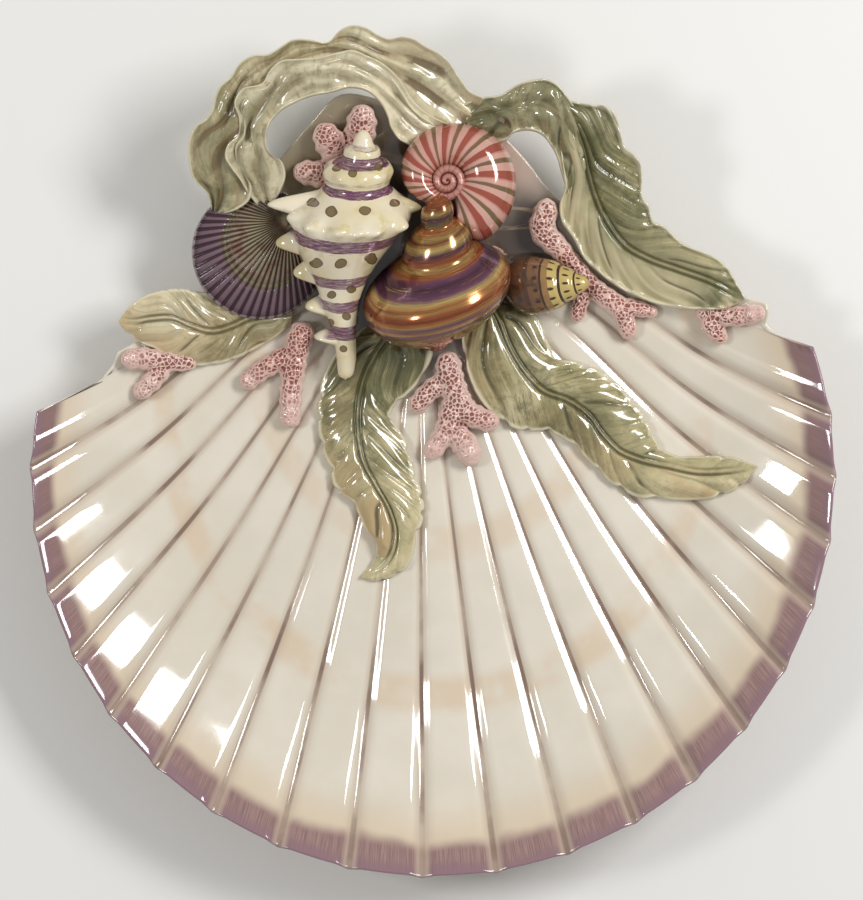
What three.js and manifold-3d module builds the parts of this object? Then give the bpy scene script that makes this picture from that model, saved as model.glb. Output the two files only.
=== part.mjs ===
// Glazed earthenware canape plate: a ribbed scallop dish with a kelp handle,
// sea shells and coral sprigs luted on along its hinge side.
// Millimetres, +Z up. The origin is on the table under the middle of the outline.
// +Y points from the serving side to the kelp handle.
import * as THREE from "three";
import { mergeVertices } from "three/addons/utils/BufferGeometryUtils.js";
import Module from "manifold-3d";

// Dish
const RIM_RADIUS = 117; // plan radius of the round rim
const DISH_CENTRE = new THREE.Vector2(0, -6.5);
const HINGE = new THREE.Vector2(-4, 55.5); // point that the grooves fan out from
const FLOOR_TOP = 9; // height of the inner floor above the table
const FLOOR_RADIUS = 58; // the flat floor ends here and the side starts to rise
const BOWL_DEPTH = 19; // rise of the side from the floor to the rim
const BRIM_EASE = 12; // run beyond the rim over which the rise levels out
const WALL = 5; // wall of the floor and side
const RIM_WALL = 4; // wall at the lip
const LIP_BULGE = 0.8; // roundness of the lip beyond the rim radius
const FOOT_RADIUS = 56; // middle of the foot ring
const FOOT_WIDTH = 6;
const FOOT_DRAFT = 1; // how much narrower the foot is at the table on each side

// Grooves between the broad ribs of the dish
const GROOVE_COUNT = 20;
const GROOVE_PITCH = THREE.MathUtils.degToRad(6.92);
const GROOVE_FIRST = THREE.MathUtils.degToRad(-62);
const GROOVE_WIDTH = 7; // shoulder to shoulder at the rim
const GROOVE_BOTTOM = 0.35; // share of the width that is bottom
const GROOVE_DEPTH = 1.3;
const GROOVE_BEND = THREE.MathUtils.degToRad(11); // swing of the side grooves near the hinge
const GROOVE_BEND_AT = THREE.MathUtils.degToRad(50); // fan angle that has this swing
const GROOVE_BEND_RUN = 96; // distance from the hinge where the swing starts
const BACK_STEP = THREE.MathUtils.degToRad(5); // spread of the surface lines behind the hinge
const BACK_REACH_STEP = 7; // most that their length changes from one to the next

// Sprigs
const LUTE_GAP = 0.3; // bond line between one piece of clay and the next
const LEAF_EDGE = 2; // thickness of a leaf at its margin
const LEAF_CROWN = 3.5; // further thickness at its midrib
const LOOP_EDGE = 4; // the same for the fronds that make the handle
const LOOP_CROWN = 4;
const CORAL_SHANK = 0.6; // height of a coral branch's flank, as a share of its radius

// Shells
const FAN_RADIUS = 19.5;
const FAN_RIBS = 24;
const FAN_RIB_DEPTH = 0.8;
const FAN_EDGE = 3;
const FAN_RISE = 9;
const COIL_START = 8.5; // outer radius of the coiled shell where its last turn begins
const COIL_MOUTH = 23; // outer radius at its mouth
const COIL_HEIGHT = 21; // height of its middle plane above the table
const COIL_BOSS = 10; // radius of the inner turns

const wasm = await Module();
wasm.setup();

// Height of the dish's upper surface, grooves apart, carried on past the rim under the handle.
function seatHeight(x, y) {
  const reach = Math.hypot(x - DISH_CENTRE.x, y - DISH_CENTRE.y);
  const run = RIM_RADIUS - FLOOR_RADIUS;
  const inside = THREE.MathUtils.clamp(reach - FLOOR_RADIUS, 0, run) / run;
  const rimSlope = (2 * BOWL_DEPTH) / run;
  const beyond = Math.max(0, reach - RIM_RADIUS);
  const brim = rimSlope * BRIM_EASE * (1 - Math.exp(-beyond / BRIM_EASE));
  return FLOOR_TOP + BOWL_DEPTH * inside * inside + brim;
}

// Closed solid from rings of points; each end ring is closed to one point.
function loft(startPoint, rings, endPoint) {
  const sides = rings[0].length;
  const positions = [startPoint, ...rings.flat(), endPoint].flatMap((p) => [p.x, p.y, p.z]);
  const last = 1 + rings.length * sides;
  const index = [];
  for (let j = 0; j < sides; j++) {
    const k = (j + 1) % sides;
    index.push(0, 1 + j, 1 + k);
    for (let i = 0; i < rings.length - 1; i++) {
      const a = 1 + i * sides;
      const b = a + sides;
      index.push(a + j, b + j, b + k, a + j, b + k, a + k);
    }
    const end = last - sides;
    index.push(end + j, last, end + k);
  }
  const geometry = new THREE.BufferGeometry();
  geometry.setAttribute("position", new THREE.Float32BufferAttribute(positions, 3));
  geometry.setIndex(index);
  return geometry;
}

// Solid for joining and cutting, with its faces turned outwards.
function toSolid(geometry) {
  geometry.deleteAttribute("normal");
  geometry.deleteAttribute("uv");
  const merged = mergeVertices(geometry, 1e-3);
  const points = merged.getAttribute("position");
  const index = [];
  for (let i = 0; i < merged.index.count; i += 3) {
    const corner = [0, 1, 2].map((n) => merged.index.getX(i + n));
    if (new Set(corner).size === 3) {
      index.push(...corner);
    }
  }
  let volume = 0;
  const [a, b, c] = [new THREE.Vector3(), new THREE.Vector3(), new THREE.Vector3()];
  for (let i = 0; i < index.length; i += 3) {
    a.fromBufferAttribute(points, index[i]);
    b.fromBufferAttribute(points, index[i + 1]);
    c.fromBufferAttribute(points, index[i + 2]);
    volume += a.dot(b.cross(c));
  }
  if (volume < 0) {
    index.reverse();
  }
  const vertProperties = new Float32Array(points.array);
  const triVerts = new Uint32Array(index);
  return new wasm.Manifold(new wasm.Mesh({ numProp: 3, vertProperties, triVerts }));
}

function toGeometry(solid) {
  const mesh = solid.getMesh();
  const geometry = new THREE.BufferGeometry();
  geometry.setAttribute("position", new THREE.Float32BufferAttribute(mesh.vertProperties, 3));
  geometry.setIndex(new THREE.Uint32BufferAttribute(mesh.triVerts, 1));
  geometry.computeVertexNormals();
  return geometry;
}

// A cut can leave crumbs of clay beside the piece, so only its largest body is kept.
function largestBody(solid) {
  const bodies = solid.decompose();
  return bodies.reduce((best, body) => (body.volume() > best.volume() ? body : best));
}

// Dish outline
// Ends of the round rim, as angles about the dish's centre.
const RIGHT_CORNER = THREE.MathUtils.degToRad(15.7);
const LEFT_CORNER = THREE.MathUtils.degToRad(170.4);

function rimPoint(angle) {
  const x = DISH_CENTRE.x + RIM_RADIUS * Math.cos(angle);
  const y = DISH_CENTRE.y + RIM_RADIUS * Math.sin(angle);
  return new THREE.Vector2(x, y);
}

// The shoulders step in from the corners of the rim to the sprigs.
const RIGHT_SHOULDER = rimPoint(RIGHT_CORNER).add(new THREE.Vector2(-14.6, 6.3));
const LEFT_SHOULDER = rimPoint(LEFT_CORNER).add(new THREE.Vector2(23.4, 13.5));
// Edge of the dish behind the hinge, from the right shoulder round to the left one.
const BACK_EDGE = [
  RIGHT_SHOULDER.toArray(), [94, 39], [88, 44.5], [78, 49], [63.5, 60.5], [54.5, 69.5], [46, 76],
  [33.5, 78], [20.5, 92], [13.5, 97], [2, 98.5], [-11, 100], [-25.5, 103.5], [-39, 91], [-45.5, 84.5],
  [-49, 78], [-56.5, 72], [-63.5, 66.5], [-66.5, 56], [-68, 49], [-79.5, 41.5], [-87, 35.5],
  LEFT_SHOULDER.toArray(),
].map(([x, y]) => new THREE.Vector2(x, y));

// Fan angle about the hinge: zero straight down the serving side, growing towards +X.
function fanAngle(point) {
  return Math.atan2(point.x - HINGE.x, HINGE.y - point.y);
}

const RIGHT_END = fanAngle(rimPoint(RIGHT_CORNER));
const LEFT_END = fanAngle(rimPoint(LEFT_CORNER));
const FULL_TURN = 2 * Math.PI;

// The edge behind the hinge as angles and distances, from one corner of the rim to the other.
const backReach = [rimPoint(RIGHT_CORNER), ...BACK_EDGE, rimPoint(LEFT_CORNER)].map((point) => {
  const angle = fanAngle(point);
  const behind = angle < RIGHT_END ? angle + FULL_TURN : angle;
  return { angle: behind, reach: point.distanceTo(HINGE) };
});

// Distance from the hinge to the outline in one direction.
function outlineReach(angle) {
  if (angle <= RIGHT_END) {
    const direction = new THREE.Vector2(Math.sin(angle), -Math.cos(angle));
    const toHinge = HINGE.clone().sub(DISH_CENTRE);
    const along = toHinge.dot(direction);
    return -along + Math.sqrt(along * along - toHinge.lengthSq() + RIM_RADIUS * RIM_RADIUS);
  }
  const next = backReach.findIndex((spot) => spot.angle >= angle);
  const [a, b] = [backReach[next - 1], backReach[next]];
  return THREE.MathUtils.mapLinear(angle, a.angle, b.angle, a.reach, b.reach);
}

// Lines that run out from the hinge: four for each groove, and an even spread behind the hinge.
function dishLines() {
  const lines = [];
  for (let i = 0; i < GROOVE_COUNT; i++) {
    const angle = GROOVE_FIRST + i * GROOVE_PITCH;
    for (const [side, deep] of [[-1, 0], [-GROOVE_BOTTOM, 1], [GROOVE_BOTTOM, 1], [1, 0]]) {
      lines.push({ angle, side, deep });
    }
  }
  backReach.slice(1).forEach((spot, i) => {
    const before = backReach[i];
    const turns = (spot.angle - before.angle) / BACK_STEP;
    const steps = Math.abs(spot.reach - before.reach) / BACK_REACH_STEP;
    const pieces = Math.ceil(Math.max(turns, steps));
    for (let n = i === 0 ? 0 : 1; n <= pieces; n++) {
      const angle = THREE.MathUtils.lerp(before.angle, spot.angle, n / pieces);
      lines.push({ angle, side: 0, deep: 0 });
    }
  });
  return lines;
}

// Swing of a line at a distance from the hinge; the side grooves curl in towards it.
function lineSwing(angle, distance, reach) {
  const wrapped = angle > Math.PI ? angle - FULL_TURN : angle;
  const last = Math.max(RIGHT_END, -LEFT_END);
  const turn = Math.abs(wrapped);
  const full = GROOVE_BEND * (Math.min(turn, last) / GROOVE_BEND_AT) ** 2;
  const fade = turn > last ? (Math.PI - turn) / (Math.PI - last) : 1;
  const run = Math.min(GROOVE_BEND_RUN, 0.8 * reach);
  const nearness = Math.max(0, run / Math.max(distance, 0.45 * run) - 1);
  return Math.sign(wrapped) * full * fade * nearness;
}

// Point of a line at a share of the way from the hinge to the outline.
function dishPoint(line, share) {
  const atRim = line.angle + (line.side * GROOVE_WIDTH) / 2 / outlineReach(line.angle);
  const reach = outlineReach(atRim);
  const distance = share * reach;
  const widest = 0.4 * GROOVE_PITCH * distance;
  const halfWidth = Math.min(widest, (GROOVE_WIDTH / 2) * (0.35 + 0.65 * share));
  const angle = line.angle + lineSwing(line.angle, distance, reach) + (line.side * halfWidth) / distance;
  return new THREE.Vector2(HINGE.x + distance * Math.sin(angle), HINGE.y - distance * Math.cos(angle));
}

function scallopDish() {
  const lines = dishLines();
  const topShares = [0.2, 0.36, 0.48, 0.58, 0.67, 0.76, 0.84, 0.92, 1];
  const undersideShares = [0.78, 0.45];
  const atHeight = (point, height) => new THREE.Vector3(point.x, point.y, height);
  const rings = topShares.map((share) =>
    lines.map((line) => {
      const point = dishPoint(line, share);
      const fade = THREE.MathUtils.smoothstep(share, 0.25, 0.55);
      return atHeight(point, seatHeight(point.x, point.y) - line.deep * GROOVE_DEPTH * fade);
    }),
  );
  const lip = lines.map((line) => {
    const rim = dishPoint(line, 1);
    const out = rim.clone().sub(DISH_CENTRE).normalize().multiplyScalar(LIP_BULGE);
    return atHeight(rim.clone().add(out), seatHeight(rim.x, rim.y) - RIM_WALL / 2);
  });
  const underLip = lines.map((line) => {
    const rim = dishPoint(line, 1);
    return atHeight(rim, seatHeight(rim.x, rim.y) - RIM_WALL);
  });
  const underside = undersideShares.map((share) =>
    lines.map((line) => {
      const point = dishPoint(line, share);
      return atHeight(point, seatHeight(point.x, point.y) - WALL);
    }),
  );
  const hinge = seatHeight(HINGE.x, HINGE.y);
  const geometry = loft(
    atHeight(HINGE, hinge), [...rings, lip, underLip, ...underside], atHeight(HINGE, hinge - WALL),
  );
  return toSolid(geometry).add(footRing());
}

// Turned foot ring, rooted in the middle of the wall above it.
function footRing() {
  const inner = FOOT_RADIUS - FOOT_WIDTH / 2;
  const outer = FOOT_RADIUS + FOOT_WIDTH / 2;
  const root = FLOOR_TOP - WALL / 2;
  const section = [[inner + FOOT_DRAFT, 0], [outer - FOOT_DRAFT, 0], [outer, root], [inner, root]];
  const profile = section.map(([radius, height]) => new THREE.Vector2(radius, height));
  profile.push(profile[0].clone());
  const ring = new THREE.LatheGeometry(profile, 64);
  ring.rotateX(Math.PI / 2).translate(DISH_CENTRE.x, DISH_CENTRE.y, 0);
  return toSolid(ring);
}

// Everything below the upper surface of the dish, a bond line included.
function dishBed() {
  const reachStep = 7;
  const deep = -60;
  const profile = [new THREE.Vector2(0, FLOOR_TOP + LUTE_GAP)];
  for (let reach = FLOOR_RADIUS; reach < RIM_RADIUS + 2 * BRIM_EASE; reach += reachStep) {
    const height = seatHeight(DISH_CENTRE.x + reach, DISH_CENTRE.y);
    profile.push(new THREE.Vector2(reach, height + LUTE_GAP));
  }
  profile.push(new THREE.Vector2(profile.at(-1).x, deep), new THREE.Vector2(0, deep));
  const bed = new THREE.LatheGeometry(profile, 64);
  bed.rotateX(Math.PI / 2).translate(DISH_CENTRE.x, DISH_CENTRE.y, 0);
  return toSolid(bed);
}

// Sprig of clay laid along a spine: flat underneath where it follows the dish, modelled on top.
// Left and right are the half widths at each spine point, seen along the spine.
function sprig({ spine, left, right, crown }, grow) {
  const path = new THREE.CatmullRomCurve3(spine.map(([x, y]) => new THREE.Vector3(x, y, 0)));
  const sizes = spine.map((_, i) => new THREE.Vector3(left[i], right[i], 0));
  const halfWidths = new THREE.CatmullRomCurve3(sizes);
  const ringCount = 2 * (spine.length - 1);
  const topSpots = [1, 0.67, 0.33, 0, -0.33, -0.67, -1];
  const underSpots = [-1, -0.5, 0, 0.5, 1];
  const rings = [];
  const across = (share, spot) => {
    const middle = path.getPoint(share);
    const along = path.getTangent(share);
    const width = halfWidths.getPoint(share);
    const half = spot > 0 ? width.x : width.y;
    const offset = spot * (half + grow);
    return { x: middle.x - along.y * offset, y: middle.y + along.x * offset, half };
  };
  for (let i = 0; i <= ringCount; i++) {
    const share = i / ringCount;
    const top = topSpots.map((spot) => {
      const { x, y, half } = across(share, spot);
      return new THREE.Vector3(x, y, seatHeight(x, y) + LUTE_GAP + crown(spot, half) + grow);
    });
    const under = underSpots.map((spot) => {
      const { x, y } = across(share, spot);
      return new THREE.Vector3(x, y, seatHeight(x, y) + LUTE_GAP - grow);
    });
    rings.push([...top, ...under]);
  }
  const tip = (share, way) => {
    const spot = path.getPoint(share).addScaledVector(path.getTangent(share), way * (grow + 1));
    return spot.setZ(seatHeight(spot.x, spot.y) + LUTE_GAP + crown(1, left[0]) / 2);
  };
  return toSolid(loft(tip(0, -1), rings, tip(1, 1)));
}

const leafCrown = (spot) => LEAF_EDGE + LEAF_CROWN * (1 - spot * spot);
const loopCrown = (spot) => LOOP_EDGE + LOOP_CROWN * (1 - spot * spot);
const coralCrown = (spot, half) => half * (CORAL_SHANK + Math.sqrt(1 - spot * spot));

// Coral: branches of clay pressed together, each given by its points and radii.
function coral(branches, grow) {
  const solids = branches.map(({ spine, radii }) =>
    sprig({ spine, left: radii, right: radii, crown: coralCrown }, grow),
  );
  return solids.reduce((whole, branch) => whole.add(branch));
}

// Places a shape turned about its own Y axis so that the axis points along the shell.
// The apex is at the shape's origin and the body runs down its -Y side.
function shellFrame({ apex, heading, tilt }) {
  const axis = new THREE.Vector3(
    Math.cos(heading) * Math.cos(tilt), Math.sin(heading) * Math.cos(tilt), Math.sin(tilt),
  );
  const side = new THREE.Vector3(Math.sin(heading), -Math.cos(heading), 0);
  const up = new THREE.Vector3().crossVectors(side, axis);
  return new THREE.Matrix4().makeBasis(side, axis, up).setPosition(apex);
}

// Spired shell from the radii of its whorls, listed from the apex down.
function spiredShell({ whorls, spines = [], spineRoot = 0, place }, grow) {
  const profile = whorls.map(([along, radius], i) => {
    const end = i === 0 ? grow : i === whorls.length - 1 ? -grow : 0;
    return new THREE.Vector2(radius > 0 ? radius + grow : 0, -along + end);
  });
  let solid = toSolid(new THREE.LatheGeometry(profile, 20).applyMatrix4(shellFrame(place)));
  for (const [along, out] of spines) {
    const reach = Math.abs(out) + grow;
    const spine = new THREE.ConeGeometry(spineRoot + grow, reach, 7).translate(0, reach / 2, 0);
    spine.rotateZ(-Math.sign(out) * Math.PI / 2).translate(0, -along, 0);
    solid = solid.add(toSolid(spine.applyMatrix4(shellFrame(place))));
  }
  return solid;
}

// Coiled shell: the last turn swept on a growing spiral round a boss of inner turns.
function coiledShell({ middle, start, sweep }, grow) {
  const turns = 18;
  const sides = 10;
  const growth = Math.log(COIL_MOUTH / COIL_START) / sweep;
  const innerShare = Math.exp(-2 * Math.PI * growth);
  const ringAt = (share) => {
    const angle = start - share * sweep;
    const outer = COIL_START * Math.exp(growth * share * sweep);
    const half = (outer * (1 - innerShare)) / 2;
    const centre = outer - half;
    return Array.from({ length: sides }, (_, j) => {
      const turn = (2 * Math.PI * j) / sides;
      const reach = centre + (half + grow) * Math.cos(turn);
      const height = COIL_HEIGHT + (1.25 * half + grow) * Math.sin(turn);
      return new THREE.Vector3(
        middle.x + reach * Math.cos(angle), middle.y + reach * Math.sin(angle), height,
      );
    });
  };
  const rings = Array.from({ length: turns + 1 }, (_, i) => ringAt(i / turns));
  const centreOf = (ring) => ring.reduce((sum, p) => sum.add(p), new THREE.Vector3()).divideScalar(sides);
  const lastTurn = toSolid(loft(centreOf(rings[0]), rings, centreOf(rings.at(-1))));
  const boss = new THREE.SphereGeometry(COIL_BOSS + grow, 16, 8);
  boss.rotateX(Math.PI / 2).translate(middle.x, middle.y, COIL_HEIGHT);
  return lastTurn.add(toSolid(boss));
}

// Fan shell: a ribbed dome whose ribs spread from its beak.
function fanShell({ middle, beak }, grow) {
  const lineCount = 2 * FAN_RIBS;
  const radius = FAN_RADIUS + grow;
  const rimReach = (angle) => {
    const direction = new THREE.Vector2(Math.cos(angle), Math.sin(angle));
    const toBeak = beak.clone().sub(middle);
    const along = toBeak.dot(direction);
    return -along + Math.sqrt(along * along - toBeak.lengthSq() + radius * radius);
  };
  const ring = (share, height) =>
    Array.from({ length: lineCount }, (_, i) => {
      const angle = (2 * Math.PI * i) / lineCount;
      const reach = share * rimReach(angle);
      const [x, y] = [beak.x + reach * Math.cos(angle), beak.y + reach * Math.sin(angle)];
      return new THREE.Vector3(x, y, seatHeight(x, y) + height(i % 2));
    });
  const dome = (share) => (valley) =>
    FAN_EDGE + FAN_RISE * (1 - share * share) - valley * share * FAN_RIB_DEPTH + grow;
  const under = () => LUTE_GAP - grow;
  const rings = [
    ring(0.4, dome(0.4)), ring(0.75, dome(0.75)), ring(1, dome(1)), ring(1, under), ring(0.5, under),
  ];
  const beakSeat = seatHeight(beak.x, beak.y);
  const top = new THREE.Vector3(beak.x, beak.y, beakSeat + FAN_EDGE + FAN_RISE + grow);
  const bottom = new THREE.Vector3(beak.x, beak.y, beakSeat + LUTE_GAP - grow);
  return toSolid(loft(top, rings, bottom));
}

// Fronds and leaves, each along its midrib
const FRONDS = {
  kelp_loop_inner: {
    spine: [[-47, 75], [-53, 84], [-53, 94], [-50, 103], [-40.5, 108], [-28.5, 110], [-18.5, 107.5],
      [-11, 101.5], [-6.5, 94.5], [-2.5, 91]],
    left: [5, 6.5, 4, 6, 5.5, 4, 6, 5.5, 6.5, 3.5],
    right: [4.5, 5, 4, 5.5, 5.5, 5, 5.5, 5, 5, 3.5],
    crown: loopCrown,
  },
  kelp_loop_outer: {
    spine: [[-61.5, 73.5], [-66, 82.5], [-65, 92], [-60.5, 101.5], [-53, 109.5], [-41.5, 115.5],
      [-30, 117.5], [-18.5, 117], [-8, 112], [-0.5, 105], [8.5, 99.5], [12.5, 98]],
    left: [4, 4.5, 5.5, 6, 5.5, 3.5, 6, 5.5, 7.5, 8.5, 5.5, 5],
    right: [5.5, 7, 7.5, 7, 6.5, 5, 5.5, 6.5, 7, 7, 4.5, 3.5],
    crown: loopCrown,
  },
  kelp_frond_right: {
    spine: [[40.5, 97.5], [44, 88.5], [46, 78], [49.5, 67.5], [57.5, 59], [67.5, 54], [78, 50], [88, 46]],
    left: [4, 12.5, 14.5, 14, 12.5, 9.5, 7.5, 1.5],
    right: [3, 6.5, 8, 11, 12.5, 10.5, 7.5, 1.5],
    crown: loopCrown,
  },
  kelp_arch_right: {
    spine: [[14, 98.5], [19.5, 99], [27, 101.5], [33.5, 100], [37, 93.5], [39.5, 85.5], [39.5, 78]],
    left: [3, 4.5, 5.5, 7, 6, 4, 3],
    right: [3.5, 5.5, 6.5, 5, 3, 2.5, 2],
    crown: loopCrown,
  },
  kelp_leaf_left: {
    spine: [[-44, 39], [-52, 39], [-60.5, 37], [-69.5, 36.5], [-78, 39], [-87, 40], [-91, 38.5]],
    left: [2.5, 8, 9.5, 11, 11, 5.5, 1.5],
    right: [2.5, 6, 9, 10.5, 8, 4, 1.5],
    crown: leafCrown,
  },
  kelp_leaf_front_left: {
    spine: [[-8.5, 36], [-15.5, 30], [-21.5, 20.5], [-23, 9.5], [-20.5, -0.5], [-15.5, -11],
      [-11.5, -19.5], [-11, -28], [-15, -33.5], [-20, -36]],
    left: [3, 11, 11, 11, 13, 11, 8, 4.5, 3, 1],
    right: [3, 10, 12.5, 11.5, 11, 9.5, 9.5, 4.5, 2.5, 1],
    crown: leafCrown,
  },
  kelp_leaf_front_right: {
    spine: [[17, 44], [19.5, 35.5], [23.5, 24.5], [31, 18], [40, 15], [47.5, 9], [53.5, 2],
      [62, -2.5], [73.5, -5.5], [84.5, -6.5], [92.5, -4.5]],
    left: [3, 11, 11, 13, 11, 11.5, 10.5, 6, 4.5, 4.5, 1],
    right: [3, 10.5, 10.5, 11, 10.5, 11, 11, 10, 8, 4.5, 1],
    crown: leafCrown,
  },
};

// Moves a branch that is given from a point of the dish's outline.
function movedBranch({ spine, radii }, from) {
  return { spine: spine.map(([x, y]) => [from.x + x, from.y + y]), radii };
}

// Coral sprigs, each with its branches; the two far ones are given from the shoulders.
const CORALS = {
  coral_upper: [
    { spine: [[-24, 82], [-22, 91], [-20.5, 97], [-20, 102]], radii: [3, 3.5, 4.5, 2.5] },
    { spine: [[-24.5, 82], [-28.5, 88.5], [-31.5, 92.5], [-33.5, 96]], radii: [3, 3.8, 4.4, 2.5] },
    { spine: [[-24, 82], [-32.5, 82], [-38.5, 82], [-42, 82]], radii: [3, 3.2, 4, 2.2] },
  ],
  coral_far_left: [
    { spine: [[22, 0], [14, 0.5], [6.5, 1], [1.5, 0]], radii: [2.2, 3, 3.2, 2] },
    { spine: [[14, 0], [9.5, -6], [6, -9.5]], radii: [2.8, 2.8, 2] },
  ].map((branch) => movedBranch(branch, LEFT_SHOULDER)),
  coral_left: [
    { spine: [[-36.5, 38], [-40.5, 30.5], [-42, 19.5], [-42, 8]], radii: [3.6, 4, 3.2, 2.4] },
    { spine: [[-40.5, 29], [-49, 25], [-55.5, 20]], radii: [3.2, 3, 2.2] },
  ],
  coral_centre: [
    { spine: [[4, 30], [6, 21], [8.5, 14], [18, 8.5]], radii: [3.2, 3.8, 3.8, 2.2] },
    { spine: [[5.5, 22.5], [-2.5, 17.5], [-6, 13]], radii: [3.2, 3, 2.2] },
    { spine: [[7.5, 18], [3.5, 6.5], [-1, -1]], radii: [3.5, 3.5, 2.2] },
    { spine: [[4.5, 8], [10, 2], [12.5, -2]], radii: [3.4, 3.6, 2.4] },
  ],
  coral_right: [
    { spine: [[33.5, 74], [32, 66.5], [37, 60.5], [43, 54], [48.5, 47.5], [55, 42], [58, 35]],
      radii: [3.4, 2.8, 2.8, 2.8, 3.2, 3.2, 2.2] },
    { spine: [[45, 51], [43, 43], [41.8, 39]], radii: [2.6, 2.4, 1.8] },
    { spine: [[53, 43], [62, 42], [66, 41]], radii: [2.8, 2.4, 1.6] },
  ],
  coral_far_right: [
    { spine: [[-21, 10.5], [-13, 8.5], [-2, 9]], radii: [2.4, 3, 2.4] },
    { spine: [[-19, 9], [-15, 3.5], [-12.5, 1]], radii: [2.6, 2.9, 2] },
  ].map((branch) => movedBranch(branch, RIGHT_SHOULDER)),
};

const degrees = THREE.MathUtils.degToRad;
// Whorls are given as distance from the apex and radius.
const SPIRED_SHELLS = {
  olive_shell: {
    whorls: [[0, 0], [2.5, 2], [5, 3.8], [6, 4.6], [10, 6.6], [11, 7.2], [16, 8.5], [21, 8], [25, 5.5], [27, 0]],
    place: { apex: new THREE.Vector3(46.5, 48.5, 22), heading: degrees(2), tilt: degrees(20) },
  },
  turban_shell: {
    whorls: [[0, 0], [2, 3], [6, 5], [10, 5.5], [12, 8.5], [16, 10.5], [19, 11.5], [22, 17.5], [27, 20.7],
      [33, 20.7], [40, 17], [45, 11], [49, 5], [50, 0]],
    place: { apex: new THREE.Vector3(0.5, 73, 36), heading: degrees(92), tilt: degrees(29) },
  },
  spindle_shell: {
    whorls: [[0, 0], [3.5, 2.5], [5, 4.5], [9.5, 6], [10.5, 9.5], [18.5, 10], [20, 9], [22.5, 15], [26, 17],
      [31, 15], [36, 12.5], [41, 10], [45, 7.8], [50, 5.8], [56, 4.2], [62, 3], [68, 2.6], [72, 1.6], [74, 0]],
    // Shoulder and lip spines: distance from the apex, and reach to the right or, if negative, the left.
    spines: [[23, -26.5], [21, 17.5], [35, -23], [43, -18], [51.5, -14], [60.5, -9.5]],
    spineRoot: 4.5,
    place: { apex: new THREE.Vector3(-20, 94, 33), heading: degrees(85.5), tilt: degrees(14) },
  },
};
const COIL_PLACE = { middle: new THREE.Vector2(4, 79), start: degrees(-90), sweep: degrees(325) };
const FAN_PLACE = { middle: new THREE.Vector2(-51, 59), beak: new THREE.Vector2(-43, 65.5) };

const GLAZES = {
  dish: { color: 0xd8d1c2, roughness: 0.16 },
  kelp: { color: 0x96916a, roughness: 0.2 },
  coral: { color: 0xdfb0a6, roughness: 0.3 },
  olive_shell: { color: 0x8a5a34, roughness: 0.2 },
  turban_shell: { color: 0xa5703f, roughness: 0.22 },
  spindle_shell: { color: 0xddd3c0, roughness: 0.2 },
  coiled_shell: { color: 0xc77f72, roughness: 0.22 },
  fan_shell: { color: 0x6a5068, roughness: 0.24 },
};

const plate = new THREE.Group();

function lay(name, solid, glaze) {
  const material = new THREE.MeshStandardMaterial({ ...GLAZES[glaze], metalness: 0 });
  const mesh = new THREE.Mesh(toGeometry(solid), material);
  mesh.name = name;
  plate.add(mesh);
}

lay("scallop_dish", scallopDish(), "dish");

// Clay that a later piece has to seat on or stay clear of, grown by the bond line.
let laid = null;

function seatPiece(name, build, glaze, onBed = false) {
  let solid = build(0);
  solid = laid ? solid.subtract(laid) : solid;
  solid = onBed ? solid.subtract(bed) : solid;
  lay(name, largestBody(solid), glaze);
  const grown = build(LUTE_GAP);
  laid = laid ? laid.add(grown) : grown;
}

const bed = dishBed();
for (const [name, frond] of Object.entries(FRONDS)) {
  seatPiece(name, (grow) => sprig(frond, grow), "kelp");
}
for (const [name, branches] of Object.entries(CORALS)) {
  seatPiece(name, (grow) => coral(branches, grow), "coral");
}
seatPiece("fan_shell", (grow) => fanShell(FAN_PLACE, grow), "fan_shell", true);
for (const [name, shell] of Object.entries(SPIRED_SHELLS)) {
  seatPiece(name, (grow) => spiredShell(shell, grow), name, true);
}
seatPiece("coiled_shell", (grow) => coiledShell(COIL_PLACE, grow), "coiled_shell", true);

// The origin goes under the middle of the whole outline.
const box = new THREE.Box3().setFromObject(plate);
const middle = box.getCenter(new THREE.Vector3());
plate.position.set(-middle.x, -middle.y, -box.min.z);
plate.updateMatrixWorld(true);

export default plate;
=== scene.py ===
# %% [markdown]
# # A scallop dish with kelp, shells and coral
# The plate is glazed earthenware: one ribbed dish, and mouldings that a potter stuck on along its hinge.
# The solids fix every place and size. This lesson rebuilds each of them as a fine mesh and paints it.

import math

import bpy
import numpy as np
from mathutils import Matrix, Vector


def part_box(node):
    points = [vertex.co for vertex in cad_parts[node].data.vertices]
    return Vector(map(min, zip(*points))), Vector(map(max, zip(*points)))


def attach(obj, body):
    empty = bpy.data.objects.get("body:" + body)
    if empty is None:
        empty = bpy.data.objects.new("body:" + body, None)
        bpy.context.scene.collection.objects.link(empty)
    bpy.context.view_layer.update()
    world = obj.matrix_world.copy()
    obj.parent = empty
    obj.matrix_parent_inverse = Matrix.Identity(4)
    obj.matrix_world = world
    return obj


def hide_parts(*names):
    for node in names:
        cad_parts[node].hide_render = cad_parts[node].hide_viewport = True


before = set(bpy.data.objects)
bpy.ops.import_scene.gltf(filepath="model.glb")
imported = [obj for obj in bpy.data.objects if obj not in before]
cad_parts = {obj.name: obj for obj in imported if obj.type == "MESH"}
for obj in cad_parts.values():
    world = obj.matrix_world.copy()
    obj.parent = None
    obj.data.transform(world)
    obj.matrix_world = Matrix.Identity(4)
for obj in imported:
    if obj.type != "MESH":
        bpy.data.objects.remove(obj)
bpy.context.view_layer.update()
print("solids to dress:", len(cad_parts))

# %% [markdown]
# ## Sizes that everything shares
# Lengths are in millimetres until a mesh is made. The dish's own box gives the rim's radius and centre, and
# the photograph's pixels are turned into millimetres by the same rim, so a point picked there lands in place.

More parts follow.
